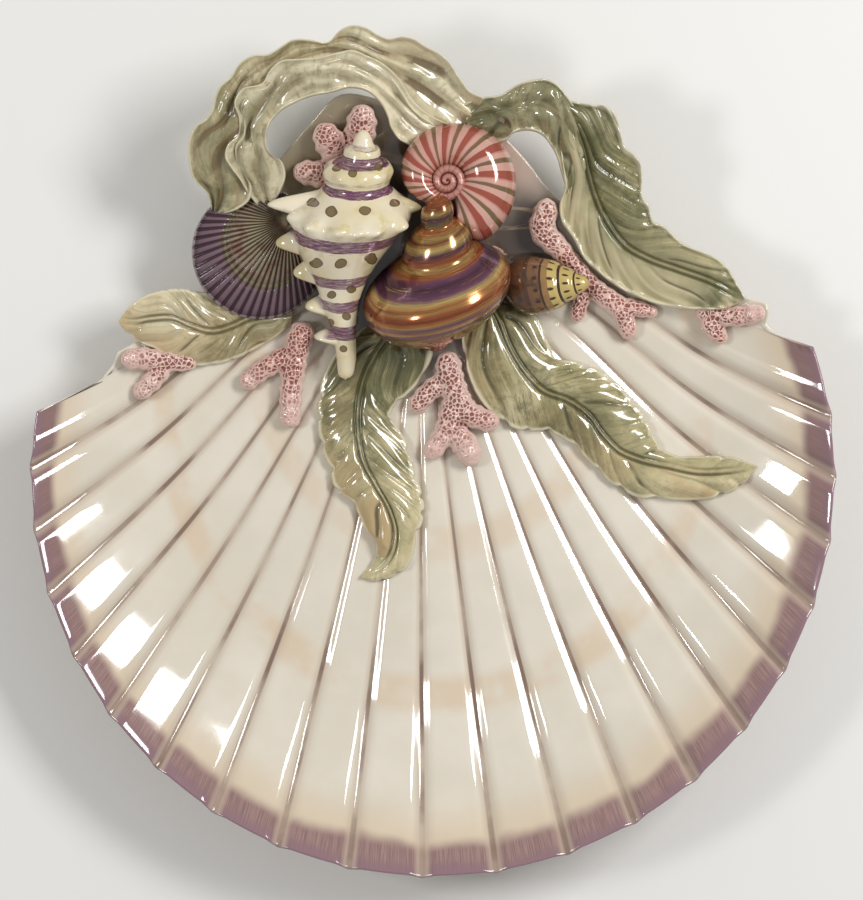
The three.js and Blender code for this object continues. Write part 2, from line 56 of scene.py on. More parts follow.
# %% Dish sizes and the photograph's scale
MM = 0.001
LIP_BULGE = 0.8
dish_low, dish_high = (np.array(corner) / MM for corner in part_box("scallop_dish"))
RIM_RADIUS = (dish_high[0] - dish_low[0]) / 2 - LIP_BULGE
RIM_CENTRE = np.array([(dish_low[0] + dish_high[0]) / 2, dish_low[1] + RIM_RADIUS + LIP_BULGE])
FLOOR_TOP = 9.0
FLOOR_RADIUS = 58.0
BOWL_DEPTH = 19.0
BRIM_EASE = 12.0
PHOTO_RIM_CENTRE = np.array([433.0, 474.8])
PHOTO_RIM_RADIUS = 401.0
PIXEL = RIM_RADIUS / PHOTO_RIM_RADIUS


def from_photo(spots):
    """Photograph pixels as millimetres in the plate's frame."""
    offsets = (np.asarray(spots, float) - PHOTO_RIM_CENTRE) * PIXEL
    return RIM_CENTRE + offsets * (1, -1)


def seat(x, y):
    """Height of the dish's upper surface, carried on past the rim under the handle."""
    reach = np.hypot(x - RIM_CENTRE[0], y - RIM_CENTRE[1])
    run = RIM_RADIUS - FLOOR_RADIUS
    inside = np.clip((reach - FLOOR_RADIUS) / run, 0, 1)
    beyond = np.maximum(reach - RIM_RADIUS, 0)
    rim_slope = 2 * BOWL_DEPTH / run
    return FLOOR_TOP + BOWL_DEPTH * inside**2 + rim_slope * BRIM_EASE * (1 - np.exp(-beyond / BRIM_EASE))


def seated(pixel, height=None):
    """Point at a photograph pixel, at a height or else on the dish."""
    x, y = from_photo(pixel)
    return np.array([x, y, seat(x, y) if height is None else height])


print("rim radius", round(RIM_RADIUS, 2), "mm; one pixel is", round(PIXEL, 4), "mm")

# %% [markdown]
# ## Tools for meshes
# Every moulding here is a stack of rings: a leaf's cross sections, a shell's whorls, a coral's branch. So
# one function turns rings into a closed mesh, and stores marks such as veins or bands on it for the paint.

# %% Curves and eased steps


def ease(value, low, high):
    """Smooth step from 0 at low to 1 at high."""
    t = np.clip((value - low) / (high - low), 0, 1)
    return t * t * (3 - 2 * t)


def hump(value, width):
    """Bell curve, 1 where the value is nought."""
    return np.exp(-((value / width) ** 2))


def path_length(points):
    """Length of a line of points."""
    return np.linalg.norm(np.diff(points, axis=0), axis=1).sum()


def smooth_path(points, shares):
    """Points at shares of the length of a smooth curve through given points."""
    points = np.asarray(points, float)
    steps = np.linalg.norm(np.diff(points, axis=0), axis=1)
    knots = np.concatenate([[0], np.cumsum(steps)]) / steps.sum()
    slopes = np.gradient(points, knots, axis=0)
    i = np.clip(np.searchsorted(knots, shares, side="right") - 1, 0, len(knots) - 2)
    span = (knots[i + 1] - knots[i])[:, None]
    t = (np.asarray(shares) - knots[i])[:, None] / span
    start = points[i] * (2 * t**3 - 3 * t**2 + 1) + slopes[i] * span * (t**3 - 2 * t**2 + t)
    return start + points[i + 1] * (3 * t**2 - 2 * t**3) + slopes[i + 1] * span * (t**3 - t**2)


# %% Mesh makers


def mesh_object(name, points, faces, marks):
    """Object from points in millimetres, with its faces turned outwards and its marks stored."""
    corners = points[np.array([face[:3] for face in faces])]
    volume = np.einsum("ij,ij->i", corners[:, 0], np.cross(corners[:, 1], corners[:, 2])).sum()
    if volume < 0:
        faces = [face[::-1] for face in faces]
    mesh = bpy.data.meshes.new(name)
    mesh.from_pydata((points * MM).tolist(), [], faces)
    mesh.polygons.foreach_set("use_smooth", np.ones(len(faces), bool))
    for mark, values in marks.items():
        kind, field = ("FLOAT_VECTOR", "vector") if values.ndim == 2 else ("FLOAT", "value")
        stored = mesh.attributes.new(mark, kind, "POINT")
        stored.data.foreach_set(field, values.astype(np.float32).ravel())
    piece = bpy.data.objects.new(name, mesh)
    bpy.context.scene.collection.objects.link(piece)
    return piece


def loft_parts(rings, ends):
    """Points and faces of closed rings, each end closed to one point."""
    count, sides = rings.shape[:2]
    i, j = np.meshgrid(np.arange(count - 1), np.arange(sides), indexing="ij")
    k = (j + 1) % sides
    quads = np.stack([i * sides + j, i * sides + k, (i + 1) * sides + k, (i + 1) * sides + j], -1)
    j = np.arange(sides)
    k = (j + 1) % sides
    first, last = count * sides, (count - 1) * sides
    caps = [np.stack([np.full(sides, first), k, j], 1),
            np.stack([np.full(sides, first + 1), last + j, last + k], 1)]
    points = np.concatenate([rings.reshape(-1, 3), np.asarray(ends, float)])
    return points, quads.reshape(-1, 4).tolist() + caps[0].tolist() + caps[1].tolist()


def loft(name, rings, ends=None, **marks):
    """Closed mesh from rings of points, with marks given for each ring point."""
    ends = [rings[0].mean(0), rings[-1].mean(0)] if ends is None else ends
    points, faces = loft_parts(rings, ends)
    stored = {}
    for mark, values in marks.items():
        flat = values.reshape(-1, *values.shape[2:])
        stored[mark] = np.concatenate([flat, [values[0].mean(0), values[-1].mean(0)]])
    return mesh_object(name, points, faces, stored)


# %% Finishing a piece


def settle(piece):
    """Turn a piece with modifiers into a plain mesh."""
    graph = bpy.context.evaluated_depsgraph_get()
    evaluated = piece.evaluated_get(graph)
    made = bpy.data.meshes.new_from_object(evaluated, preserve_all_data_layers=True, depsgraph=graph)
    piece.modifiers.clear()
    rough = piece.data
    piece.data = made
    bpy.data.meshes.remove(rough)
    made.polygons.foreach_set("use_smooth", np.ones(len(made.polygons), bool))


def dress(piece, node, material):
    """Give a piece its paint, and let it stand for its solid."""
    if not piece.data.materials:
        piece.data.materials.append(material)
    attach(piece, "root")
    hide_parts(node)
    print(piece.name, "has", len(piece.data.polygons), "faces")


# %% [markdown]
# ## Tools for node trees
# Materials and Geometry Nodes are wired with the same few helpers. A Wire stands for a socket's value, and a
# sum of wires adds the Math node that works it out, so a tree can be written the way a formula is.

# %% Wires and nodes


class Wire:
    """The value of a node's socket. Arithmetic on wires adds Math nodes to their tree."""

    def __init__(self, tree, socket):
        self.tree = tree
        self.socket = socket

    def __add__(self, other):
        return calc(self.tree, "ADD", self, other)

    def __sub__(self, other):
        return calc(self.tree, "SUBTRACT", self, other)

    def __rsub__(self, other):
        return calc(self.tree, "SUBTRACT", other, self)

    def __mul__(self, other):
        return calc(self.tree, "MULTIPLY", self, other)

    def __truediv__(self, other):
        return calc(self.tree, "DIVIDE", self, other)

    def __rtruediv__(self, other):
        return calc(self.tree, "DIVIDE", other, self)

    def __abs__(self):
        return calc(self.tree, "ABSOLUTE", self)

    def step(self, low, high, start=0.0, end=1.0):
        """Smooth step from start at low to end at high."""
        feeds = {"Value": self, "From Min": low, "From Max": high, "To Min": start, "To Max": end}
        return wire(self.tree, "ShaderNodeMapRange", "Result", feeds, interpolation_type="SMOOTHSTEP")


def add(tree, kind, feeds=None, **options):
    """Add a node, set its options, and feed its inputs from values or wires."""
    made = tree.nodes.new(kind)
    for option, value in options.items():
        setattr(made, option, value)
    for socket, value in (feeds or {}).items():
        if isinstance(value, Wire):
            tree.links.new(value.socket, made.inputs[socket])
        else:
            made.inputs[socket].default_value = value
    return made


def wire(tree, kind, output, feeds=None, **options):
    """Add a node, and take one of its outputs."""
    return Wire(tree, add(tree, kind, feeds, **options).outputs[output])


def calc(tree, sum_kind, *values):
    """Result of a Math node."""
    return wire(tree, "ShaderNodeMath", 0, dict(enumerate(values)), operation=sum_kind)


def plug(value, socket):
    """Join a wire to a socket."""
    value.tree.links.new(value.socket, socket)


# %% Colours, textures and marks


def srgb(red, green, blue):
    """Colour as seen on screen, 0 to 255, turned into the linear values that shaders take."""
    scaled = [channel / 255 for channel in (red, green, blue)]
    return tuple(c / 12.92 if c <= 0.04045 else ((c + 0.055) / 1.055) ** 2.4 for c in scaled) + (1.0,)


def mix(factor, first, second):
    """Mix of two colours."""
    return wire(factor.tree, "ShaderNodeMix", 2, {0: factor, 6: first, 7: second}, data_type="RGBA")


def noise(place, scale, detail=3.0, roughness=0.55):
    """Value of a noise texture, around 0.5."""
    feeds = {"Vector": place, "Scale": scale, "Detail": detail, "Roughness": roughness}
    return wire(place.tree, "ShaderNodeTexNoise", "Fac", feeds)


def mark(tree, name):
    """Value of a mark that was stored on the mesh."""
    return wire(tree, "ShaderNodeAttribute", "Fac", attribute_name=name)


def place_of(tree):
    """Object coordinates, in metres."""
    return wire(tree, "ShaderNodeTexCoord", "Object")


def place_from(x, y, z=0.0):
    """Coordinates made of separate wires, for a texture that follows the surface."""
    return wire(x.tree, "ShaderNodeCombineXYZ", 0, {"X": x, "Y": y, "Z": z})


def away_from(place, point):
    """Distance from a point, in metres."""
    return wire(place.tree, "ShaderNodeVectorMath", "Value", {0: place, 1: point}, operation="DISTANCE")


def ramp(factor, stops, way="LINEAR"):
    """Colour from a list of places and colours."""
    made = add(factor.tree, "ShaderNodeValToRGB", {"Fac": factor})
    made.color_ramp.interpolation = way
    elements = made.color_ramp.elements
    while len(elements) < len(stops):
        elements.new(0.5)
    for element, (spot, colour) in zip(elements, stops):
        element.position = spot
        element.color = colour
    return Wire(factor.tree, made.outputs["Color"])


# %% Whole trees


def new_tree(name, kind, inputs, outputs):
    """Empty node tree with named inputs, as wires, and named output sockets."""
    tree = bpy.data.node_groups.new(name, kind)
    for way, sockets in (("INPUT", inputs), ("OUTPUT", outputs)):
        for title, socket in sockets.items():
            tree.interface.new_socket(name=title, in_out=way, socket_type="NodeSocket" + socket)
    given = add(tree, "NodeGroupInput").outputs
    return tree, {title: Wire(tree, given[title]) for title in inputs}, add(tree, "NodeGroupOutput").inputs


def surface_tree(name, sizes):
    """Empty Geometry Nodes tree that takes a surface, its sizes and its paint."""
    inputs = {"Geometry": "Geometry", **sizes, "Material": "Material"}
    return new_tree(name, "GeometryNodeTree", inputs, {"Geometry": "Geometry"})


def pushed(inside, marks, way, push):
    """Store marks on the surface, push it along a direction, and paint it."""
    geometry = inside["Geometry"]
    tree = geometry.tree
    for name, value in marks.items():
        feeds = {"Geometry": geometry, "Name": name, "Value": value}
        geometry = wire(tree, "GeometryNodeStoreNamedAttribute", 0, feeds)
    offset = wire(tree, "ShaderNodeVectorMath", 0, {0: way, "Scale": push}, operation="SCALE")
    moved = wire(tree, "GeometryNodeSetPosition", 0, {"Geometry": geometry, "Offset": offset})
    real = wire(tree, "GeometryNodeRealizeInstances", 0, {"Geometry": moved})
    return wire(tree, "GeometryNodeSetMaterial", 0, {"Geometry": real, "Material": inside["Material"]})


def run_tree(piece, tree, sizes, material):
    """Run a Geometry Nodes tree on a piece, with its inputs set by their identifiers."""
    modifier = piece.modifiers.new(tree.name, "NODES")
    modifier.node_group = tree
    sockets = {item.name: item.identifier for item in tree.interface.items_tree if item.in_out == "INPUT"}
    for title, value in {**sizes, "Material": material}.items():
        modifier[sockets[title]] = value
    settle(piece)


# %% [markdown]
# ## Glaze
# All the pieces wear the same clear glaze over hand-laid colour. Two groups hold what the finishes share:
# the slow mottle with a faint ripple in the glaze, and a watercolour wash that drifts between three tones.

# %% Shared finish groups
RIPPLE_SCALE = 260.0
MOTTLE_SCALE = 45.0


def glaze_mottle_group():
    """Slow tone drift, and the ripple of a glaze surface."""
    tree, inside, out = new_tree("glaze_mottle", "ShaderNodeTree", {"Scale": "Float"},
                                 {"Mottle": "Float", "Ripple": "Float"})
    place = place_of(tree)
    plug(noise(place, inside["Scale"], 4.0), out["Mottle"])
    plug(noise(place, RIPPLE_SCALE, 1.0), out["Ripple"])
    return tree


def wash_group():
    """Watercolour that drifts between a pale, a middle and a dark tone."""
    inputs = {"Pale": "Color", "Middle": "Color", "Dark": "Color", "Scale": "Float"}
    tree, inside, out = new_tree("watercolour_wash", "ShaderNodeTree", inputs, {"Color": "Color"})
    drift = noise(place_of(tree), inside["Scale"], 5.0, 0.62)
    colour = mix(drift.step(0.36, 0.54), inside["Pale"], inside["Middle"])
    plug(mix(drift.step(0.52, 0.72), colour, inside["Dark"]), out["Color"])
    return tree


GLAZE_MOTTLE = glaze_mottle_group()
WASH = wash_group()
print("shared groups:", GLAZE_MOTTLE.name, WASH.name)

# %% Glazed material
GLAZE_IOR = 1.52
COAT_ROUGHNESS = 0.04
RIPPLE_DEPTH = 0.0004


def glazed(name, paint, gloss=0.1, ripple=0.05, coat=0.35, lustre=0.0):
    """Material whose colour comes from paint(tree, mottle), under a clear glossy glaze."""
    material = bpy.data.materials.new(name)
    material.use_nodes = True
    tree = material.node_tree
    shader = tree.nodes["Principled BSDF"].inputs
    skin = add(tree, "ShaderNodeGroup", {"Scale": MOTTLE_SCALE}, node_tree=GLAZE_MOTTLE).outputs
    mottle, height = Wire(tree, skin["Mottle"]), Wire(tree, skin["Ripple"])
    plug(paint(tree, mottle), shader["Base Color"])
    plug(mottle.step(0.3, 0.75, gloss - 0.04, gloss + 0.07), shader["Roughness"])
    feeds = {"Height": height, "Strength": ripple, "Distance": RIPPLE_DEPTH}
    plug(wire(tree, "ShaderNodeBump", "Normal", feeds), shader["Normal"])
    shader["IOR"].default_value = GLAZE_IOR
    shader["Metallic"].default_value = lustre
    shader["Coat Weight"].default_value = coat
    shader["Coat Roughness"].default_value = COAT_ROUGHNESS
    return material


# %% [markdown]
# ## Camera, floor and light
# The photograph looks straight down, so the camera does too, from far enough that nothing leans. Two soft
# boxes, one on each side, give the white windows that show on the sides of the dish.

# %% Camera
IMAGE_HEIGHT = 900
PHOTO_MIDDLE = (431.5, 450.0)
CAMERA_DISTANCE = 1500.0
SENSOR = 36.0
RIM_HEIGHT = FLOOR_TOP + BOWL_DEPTH


def make_camera():
    """Camera over the plate, with the photograph's framing."""
    data = bpy.data.cameras.new("photo_camera")
    data.sensor_width = SENSOR
    data.lens = SENSOR * CAMERA_DISTANCE / (IMAGE_HEIGHT * PIXEL)
    camera = bpy.data.objects.new("photo_camera", data)
    bpy.context.scene.collection.objects.link(camera)
    camera.location = seated(PHOTO_MIDDLE, RIM_HEIGHT + CAMERA_DISTANCE) * MM
    bpy.context.scene.camera = camera
    print("lens", round(data.lens, 1), "mm")


make_camera()

# %% Floor and light
FLOOR_HALF = 3.0
FLOOR_TONE = srgb(226, 225, 222)
FLOOR_ROUGHNESS = 0.8
AIR_TONE = (1.0, 0.99, 0.975, 1.0)
AIR_STRENGTH = 0.44
BOX_DISTANCE = 1.0


def make_floor():
    """Pale floor that the plate stands on."""
    mesh = bpy.data.meshes.new("floor")
    corners = [(FLOOR_HALF * x, FLOOR_HALF * y, 0) for x, y in ((-1, -1), (1, -1), (1, 1), (-1, 1))]
    mesh.from_pydata(corners, [], [(0, 1, 2, 3)])
    floor = bpy.data.objects.new("floor", mesh)
    bpy.context.scene.collection.objects.link(floor)
    material = bpy.data.materials.new("pale_floor")
    material.use_nodes = True
    shader = material.node_tree.nodes["Principled BSDF"].inputs
    shader["Base Color"].default_value = FLOOR_TONE
    shader["Roughness"].default_value = FLOOR_ROUGHNESS
    mesh.materials.append(material)


def make_air():
    """Even light from all round."""
    world = bpy.data.worlds.new("studio_air")
    world.use_nodes = True
    background = world.node_tree.nodes["Background"].inputs
    background["Color"].default_value = AIR_TONE
    background["Strength"].default_value = AIR_STRENGTH
    bpy.context.scene.world = world


def soft_box(name, azimuth, elevation, size, power):
    """Oblong area lamp that faces the plate, at angles in degrees."""
    azimuth, elevation = math.radians(azimuth), math.radians(elevation)
    data = bpy.data.lights.new(name, "AREA")
    data.shape = "RECTANGLE"
    data.size, data.size_y = size
    data.energy = power
    lamp = bpy.data.objects.new(name, data)
    bpy.context.scene.collection.objects.link(lamp)
    flat = math.cos(elevation) * BOX_DISTANCE
    height = math.sin(elevation) * BOX_DISTANCE
    lamp.location = (flat * math.cos(azimuth), flat * math.sin(azimuth), height)
    lamp.rotation_euler = (0, math.pi / 2 - elevation, azimuth)


bpy.context.scene.view_settings.view_transform = "Standard"
make_air()
make_floor()
soft_box("right_soft_box", 27, 47.4, size=(0.22, 0.46), power=6.4)
soft_box("left_soft_box", 177, 47.3, size=(0.14, 0.2), power=2.6)
print("lamps:", len(bpy.data.lights))

# %% [markdown]
# ## Scallop dish
# The dish is a shallow bowl whose narrow grooves fan out from the hinge. Its smooth surface is a net of lines
# from the hinge to the outline. The grooves repeat by a rule, so Geometry Nodes press them in, which leaves a
# mark of each groove for the brown wash that pooled there.

# %% Groove tree
GROOVE_SIZES = ("Width", "Waist", "Bottom", "Depth", "Crease width", "Crease depth", "Crown", "Pitch",
                "Last groove", "Fade start", "Fade end")


def stored(tree, name, kind="FLOAT"):
    """A mark of the surface, read inside Geometry Nodes."""
    return wire(tree, "GeometryNodeInputNamedAttribute", "Attribute", {"Name": name}, data_type=kind)


def groove_tree():
    """Presses grooves into a surface that carries fan, share, distance and press marks."""
    tree, inside, out = surface_tree("press_grooves", {size: "Float" for size in GROOVE_SIZES})
    fan, share, distance = (stored(tree, name) for name in ("fan", "share", "distance"))
    cell = abs(fan - calc(tree, "ROUND", fan))
    off = cell * inside["Pitch"] * distance
    spread = share * (1.0 - inside["Waist"]) + inside["Waist"]
    after_first = calc(tree, "GREATER_THAN", fan, -0.5)
    before_last = calc(tree, "LESS_THAN", fan, inside["Last groove"] + 0.5)
    ribbed = after_first * before_last * distance.step(inside["Fade start"], inside["Fade end"])
    half = inside["Width"] * 0.5 * spread
    groove = off.step(half * inside["Bottom"], half, 1.0, 0.0) * ribbed
    crease = off.step(0.0, inside["Crease width"] * 0.5 * spread, 1.0, 0.0) * ribbed
    from_middle = 1.0 - cell * 2.0
    bulge = (1.0 - from_middle * from_middle) * inside["Crown"]
    cut = groove * inside["Depth"] + crease * inside["Crease depth"]
    drop = cut * spread - bulge * ribbed
    press = stored(tree, "press", "FLOAT_VECTOR")
    plug(pushed(inside, {"groove": groove, "crease": crease}, press, drop), out["Geometry"])
    return tree


PRESS_GROOVES = groove_tree()
print(PRESS_GROOVES.name, "takes", len(GROOVE_SIZES), "sizes")

# %% [markdown]
# The outline is the round rim, closed behind the hinge by an edge that the mouldings cover. Angles are
# counted from straight down the serving side, in groove pitches, so a groove lies at every whole number.

# %% Dish outline
HINGE = RIM_CENTRE + (-4.0, 62.0)
RIM_INSET = 0.7
RIGHT_CORNER = [(812, 348), (775, 335), (766, 325), (768, 312), (765, 303)]
BACK_CURVE = [
    (747, 299), (700, 285), (650, 260), (600, 215), (560, 200), (545, 185), (530, 165), (507, 140),
    (480, 112), (440, 104), (400, 105), (338, 98), (310, 125), (280, 160), (250, 200), (212, 250),
    (205, 288), (160, 312),
]
LEFT_CORNER = [(131, 345), (118, 352), (113, 365), (100, 382), (48, 408)]
BACK_POINTS = 90
back_curve = smooth_path(BACK_CURVE, np.linspace(0, 1, BACK_POINTS))
BACK_EDGE = from_photo(np.concatenate([RIGHT_CORNER, back_curve, LEFT_CORNER]))


def fan_angle(points):
    """Angle about the hinge, zero straight down, growing to the right and round the back."""
    return np.arctan2(points[..., 0] - HINGE[0], HINGE[1] - points[..., 1])


back_angles = np.unwrap(fan_angle(BACK_EDGE))
back_reach = np.linalg.norm(BACK_EDGE - HINGE, axis=1)
RIGHT_END = back_angles[0]
LEFT_END = back_angles[-1] - 2 * math.pi


def reach_to_circle(way, to_start, radius):
    """Distance along ways from a start inside a circle, which lies at to_start from its centre."""
    along = way @ to_start
    return -along + np.sqrt(along**2 - to_start @ to_start + radius**2)


def outline_reach(angle):
    """Distance from the hinge to the outline of the upper surface."""
    way = np.stack([np.sin(angle), -np.cos(angle)], -1)
    round_rim = reach_to_circle(way, HINGE - RIM_CENTRE, RIM_RADIUS - RIM_INSET)
    return np.where(angle <= RIGHT_END, round_rim, np.interp(angle, back_angles, back_reach))


print("the round rim ends at", *np.degrees([LEFT_END, RIGHT_END]).round(1), "degrees")

# %% [markdown]
# Seen from above, the grooves at the sides curl as they near the hinge. A turn of the net about the hinge
# bends them. Behind the rim's corners the turn dies away up to the back edge, so the net never folds there.

# %% Curl of the side grooves
GROOVE_BEND = math.radians(11.0)
GROOVE_BEND_AT = math.radians(50.0)
GROOVE_BEND_RUN = 96.0
BEND_RUN_SHARE = 0.8
CURL_START = 0.45
CURL_START_EASE = 0.12
CURL_END_EASE = 0.3
CURL_SPENT = math.radians(114)
LEAST_STEP = 0.001
TINY = 1e-6


def eased_above(value, floor, softness):
    """The larger of two values, with a soft turn between them."""
    return (value + floor + np.sqrt((value - floor) ** 2 + softness**2)) / 2


def side_edge(left):
    """Angles and reaches of the back edge on one side, from the rim's corner to behind the hinge."""
    angles, reaches = back_angles, back_reach
    if left:
        angles, reaches = 2 * math.pi - back_angles[::-1], back_reach[::-1]
    nearing = (reaches == np.minimum.accumulate(reaches)) & (angles < CURL_SPENT)
    return np.append(angles[nearing], math.pi), np.append(reaches[nearing], 0.0)


def side_swing(angle, distance, reach, left):
    """Turn of the net on one side, from its angle off the front."""
    edge_angles, edge_reaches = side_edge(left)
    corner = edge_angles[0]
    corner_reach = outline_reach(-corner if left else corner)
    held_reach = np.where(angle > corner - LEAST_STEP, corner_reach, reach)
    run = np.minimum(GROOVE_BEND_RUN, BEND_RUN_SHARE * held_reach)

    def curl(far):
        """How far the net has curled at a distance from the hinge."""
        short = run / eased_above(far, CURL_START * run, CURL_START_EASE * run) - 1
        return eased_above(short, 0, CURL_END_EASE)

    full = GROOVE_BEND * (np.minimum(angle, corner) / GROOVE_BEND_AT) ** 2
    room = np.interp(distance, edge_reaches[::-1], edge_angles[::-1]) - corner
    kept = 1 - np.clip(angle - corner, 0, None) / np.maximum(room, TINY)
    return full * np.clip(kept, 0, 1) * (curl(distance) - curl(held_reach))


def swing(angle, distance, reach):
    """Turn about the hinge that bends the side grooves, the same way on both sides."""
    on_left = (angle < 0) | (angle > math.pi)
    from_front = np.where(angle > math.pi, 2 * math.pi - angle, np.abs(angle))
    right_turn = side_swing(from_front, distance, reach, False)
    left_turn = side_swing(from_front, distance, reach, True)
    return np.where(on_left, -left_turn, right_turn)


# %% [markdown]
# The net has more lines where a groove falls, so that its shoulders stay crisp. The lip is half a round bead
# square to the surface, and the grooves carry on over it, which gives the rim its faint scallops.

# %% Dish net
GROOVE_COUNT = 20
GROOVE_PITCH = math.radians(6.92)
GROOVE_FIRST = math.radians(-62.0)
LINES_PER_PITCH = 32
LINE_CROWDING = 0.72
BACK_LINES = 60
SLOPE_NUDGE = 0.5


def dish_lines():
    """Fan angles of the net's lines, crowded at the grooves."""
    first = math.ceil((LEFT_END - GROOVE_FIRST) / GROOVE_PITCH * LINES_PER_PITCH) + 1
    last = math.floor((RIGHT_END - GROOVE_FIRST) / GROOVE_PITCH * LINES_PER_PITCH)
    cells = np.arange(first, last) / LINES_PER_PITCH
    crowded = cells - LINE_CROWDING * np.sin(2 * math.pi * cells) / (2 * math.pi)
    ribbed = GROOVE_FIRST + crowded * GROOVE_PITCH
    ribbed = ribbed[(ribbed > LEFT_END + LEAST_STEP) & (ribbed < RIGHT_END - LEAST_STEP)]
    even = np.linspace(RIGHT_END, LEFT_END + 2 * math.pi, BACK_LINES)
    behind = np.sort(np.concatenate([even, back_angles]))
    spaced = np.concatenate([[True], np.diff(behind) > LEAST_STEP])
    return np.concatenate([ribbed, behind[spaced]])


def dish_net(shares, angles):
    """Plan points of the net for rows of shares, and their distances from the hinge."""
    reach = outline_reach(angles)[None, :]
    distance = shares[:, None] * reach
    turned = angles[None, :] + swing(angles[None, :], distance, reach)
    plan = np.stack([HINGE[0] + distance * np.sin(turned), HINGE[1] - distance * np.cos(turned)], -1)
    return plan, distance


def on_bowl(plan):
    """Points of the bowl over plan points, with the surface's normal and its line outwards."""
    top = np.dstack([plan, seat(plan[..., 0], plan[..., 1])])
    outward = plan - RIM_CENTRE
    outward /= np.linalg.norm(outward, axis=-1, keepdims=True)
    ahead = plan + outward * SLOPE_NUDGE
    slope = (seat(ahead[..., 0], ahead[..., 1]) - top[..., 2]) / SLOPE_NUDGE
    level = 1 / np.sqrt(1 + slope**2)
    normal = np.dstack([-outward * (slope * level)[..., None], level])
    along = np.dstack([outward * level[..., None], slope * level])
    return top, normal, along


# %% Dish mesh
RIM_WALL = 1.2
WALL = 5.0
TOP_ROWS = 92
LIP_ROWS = 8
UNDER_ROWS = 12
FIRST_SHARE = 0.03
LAST_UNDER_SHARE = 0.96
LIP_MARK_STEP = 0.004
UNDER_MARK = 1.05
NO_GROOVE = -5.0
DISH_GROOVES = {
    "Width": 8.8 * MM, "Waist": 0.12, "Bottom": 0.08, "Depth": 1.08 * MM, "Crease width": 3.2 * MM,
    "Crease depth": 0.15 * MM, "Crown": 0.25 * MM, "Pitch": GROOVE_PITCH, "Last groove": GROOVE_COUNT - 1.0,
    "Fade start": 22 * MM, "Fade end": 42 * MM,
}


def lip_rings(edge, normal, along):
    """Half a round bead from the top's edge to the underside."""
    turns = np.linspace(0, math.pi, LIP_ROWS + 1)[1:]
    bead = RIM_WALL / 2
    return np.stack([edge + bead * (normal * (math.cos(t) - 1) + along * math.sin(t)) for t in turns])


def dish_marks(angles, shares, distance, under_distance, normal):
    """Marks on every row: groove number, share of the reach, distance, way to press, and the round rim."""
    rows, lines = TOP_ROWS + LIP_ROWS + UNDER_ROWS, len(angles)
    fan = (angles - GROOVE_FIRST) / GROOVE_PITCH
    fan = np.where(fan > GROOVE_COUNT + 2, NO_GROOVE, fan)
    lip_shares = 1 + LIP_MARK_STEP * np.arange(1, LIP_ROWS + 1)
    all_shares = np.concatenate([shares, lip_shares, np.full(UNDER_ROWS, UNDER_MARK)])
    lip_press = np.repeat(-normal[-1:], LIP_ROWS, 0)
    return {
        "fan": np.tile(fan, (rows, 1)),
        "share": np.repeat(all_shares[:, None], lines, 1),
        "distance": np.concatenate([distance, np.repeat(distance[-1:], LIP_ROWS, 0), under_distance]) * MM,
        "press": np.concatenate([-normal, lip_press, np.zeros((UNDER_ROWS, lines, 3))]),
        "rim": np.tile(np.where(angles <= RIGHT_END, 1.0, 0.0), (rows, 1)),
    }


def make_dish(material):
    """Bowl, lip and underside in one closed mesh, with the grooves pressed in."""
    angles = dish_lines()
    shares = np.linspace(FIRST_SHARE, 1, TOP_ROWS)
    plan, distance = dish_net(shares, angles)
    top, normal, along = on_bowl(plan)
    under_plan, under_distance = dish_net(np.linspace(LAST_UNDER_SHARE, FIRST_SHARE, UNDER_ROWS), angles)
    under = np.dstack([under_plan, seat(under_plan[..., 0], under_plan[..., 1]) - WALL])
    rings = np.concatenate([top, lip_rings(top[-1], normal[-1], along[-1]), under])
    hinge_top = seat(*HINGE)
    ends = [[*HINGE, hinge_top], [*HINGE, hinge_top - WALL]]
    marks = dish_marks(angles, shares, distance, under_distance, normal)
    dish = loft("scallop_dish_glazed", rings, ends, **marks)
    run_tree(dish, PRESS_GROOVES, DISH_GROOVES, material)
    return dish


# %% [markdown]
# The foot ring is turned on the wheel, so it is a plain lathed ring, rooted inside the wall above it.

# %% Foot ring
FOOT_RADIUS = 56.0
FOOT_HALF = 3.0
FOOT_ROUND = 1.2
FOOT_TURNS = 160


def make_foot():
    """Turned ring under the dish, closed on itself."""
    root = FLOOR_TOP - WALL / 2
    side = [(FOOT_HALF, root), (FOOT_HALF - 0.6, FOOT_ROUND), (FOOT_HALF - 1.4, 0.15), (FOOT_HALF - 2, 0)]
    section = np.array([(-off, height) for off, height in side] + side[::-1])
    turns = np.linspace(0, 2 * math.pi, FOOT_TURNS, endpoint=False)[:, None]
    radius = FOOT_RADIUS + section[:, 0]
    height = np.broadcast_to(section[:, 1], (FOOT_TURNS, len(section)))
    centre_x, centre_y = RIM_CENTRE
    rings = np.dstack([centre_x + radius * np.cos(turns), centre_y + radius * np.sin(turns), height])
    i, j = np.meshgrid(np.arange(FOOT_TURNS), np.arange(len(section)), indexing="ij")
    i_next, j_next = (i + 1) % FOOT_TURNS, (j + 1) % len(section)
    corners = [a * len(section) + b for a, b in ((i, j), (i, j_next), (i_next, j_next), (i_next, j))]
    faces = np.stack(corners, -1).reshape(-1, 4).tolist()
    return mesh_object("foot_ring_bare", rings.reshape(-1, 3), faces, {})
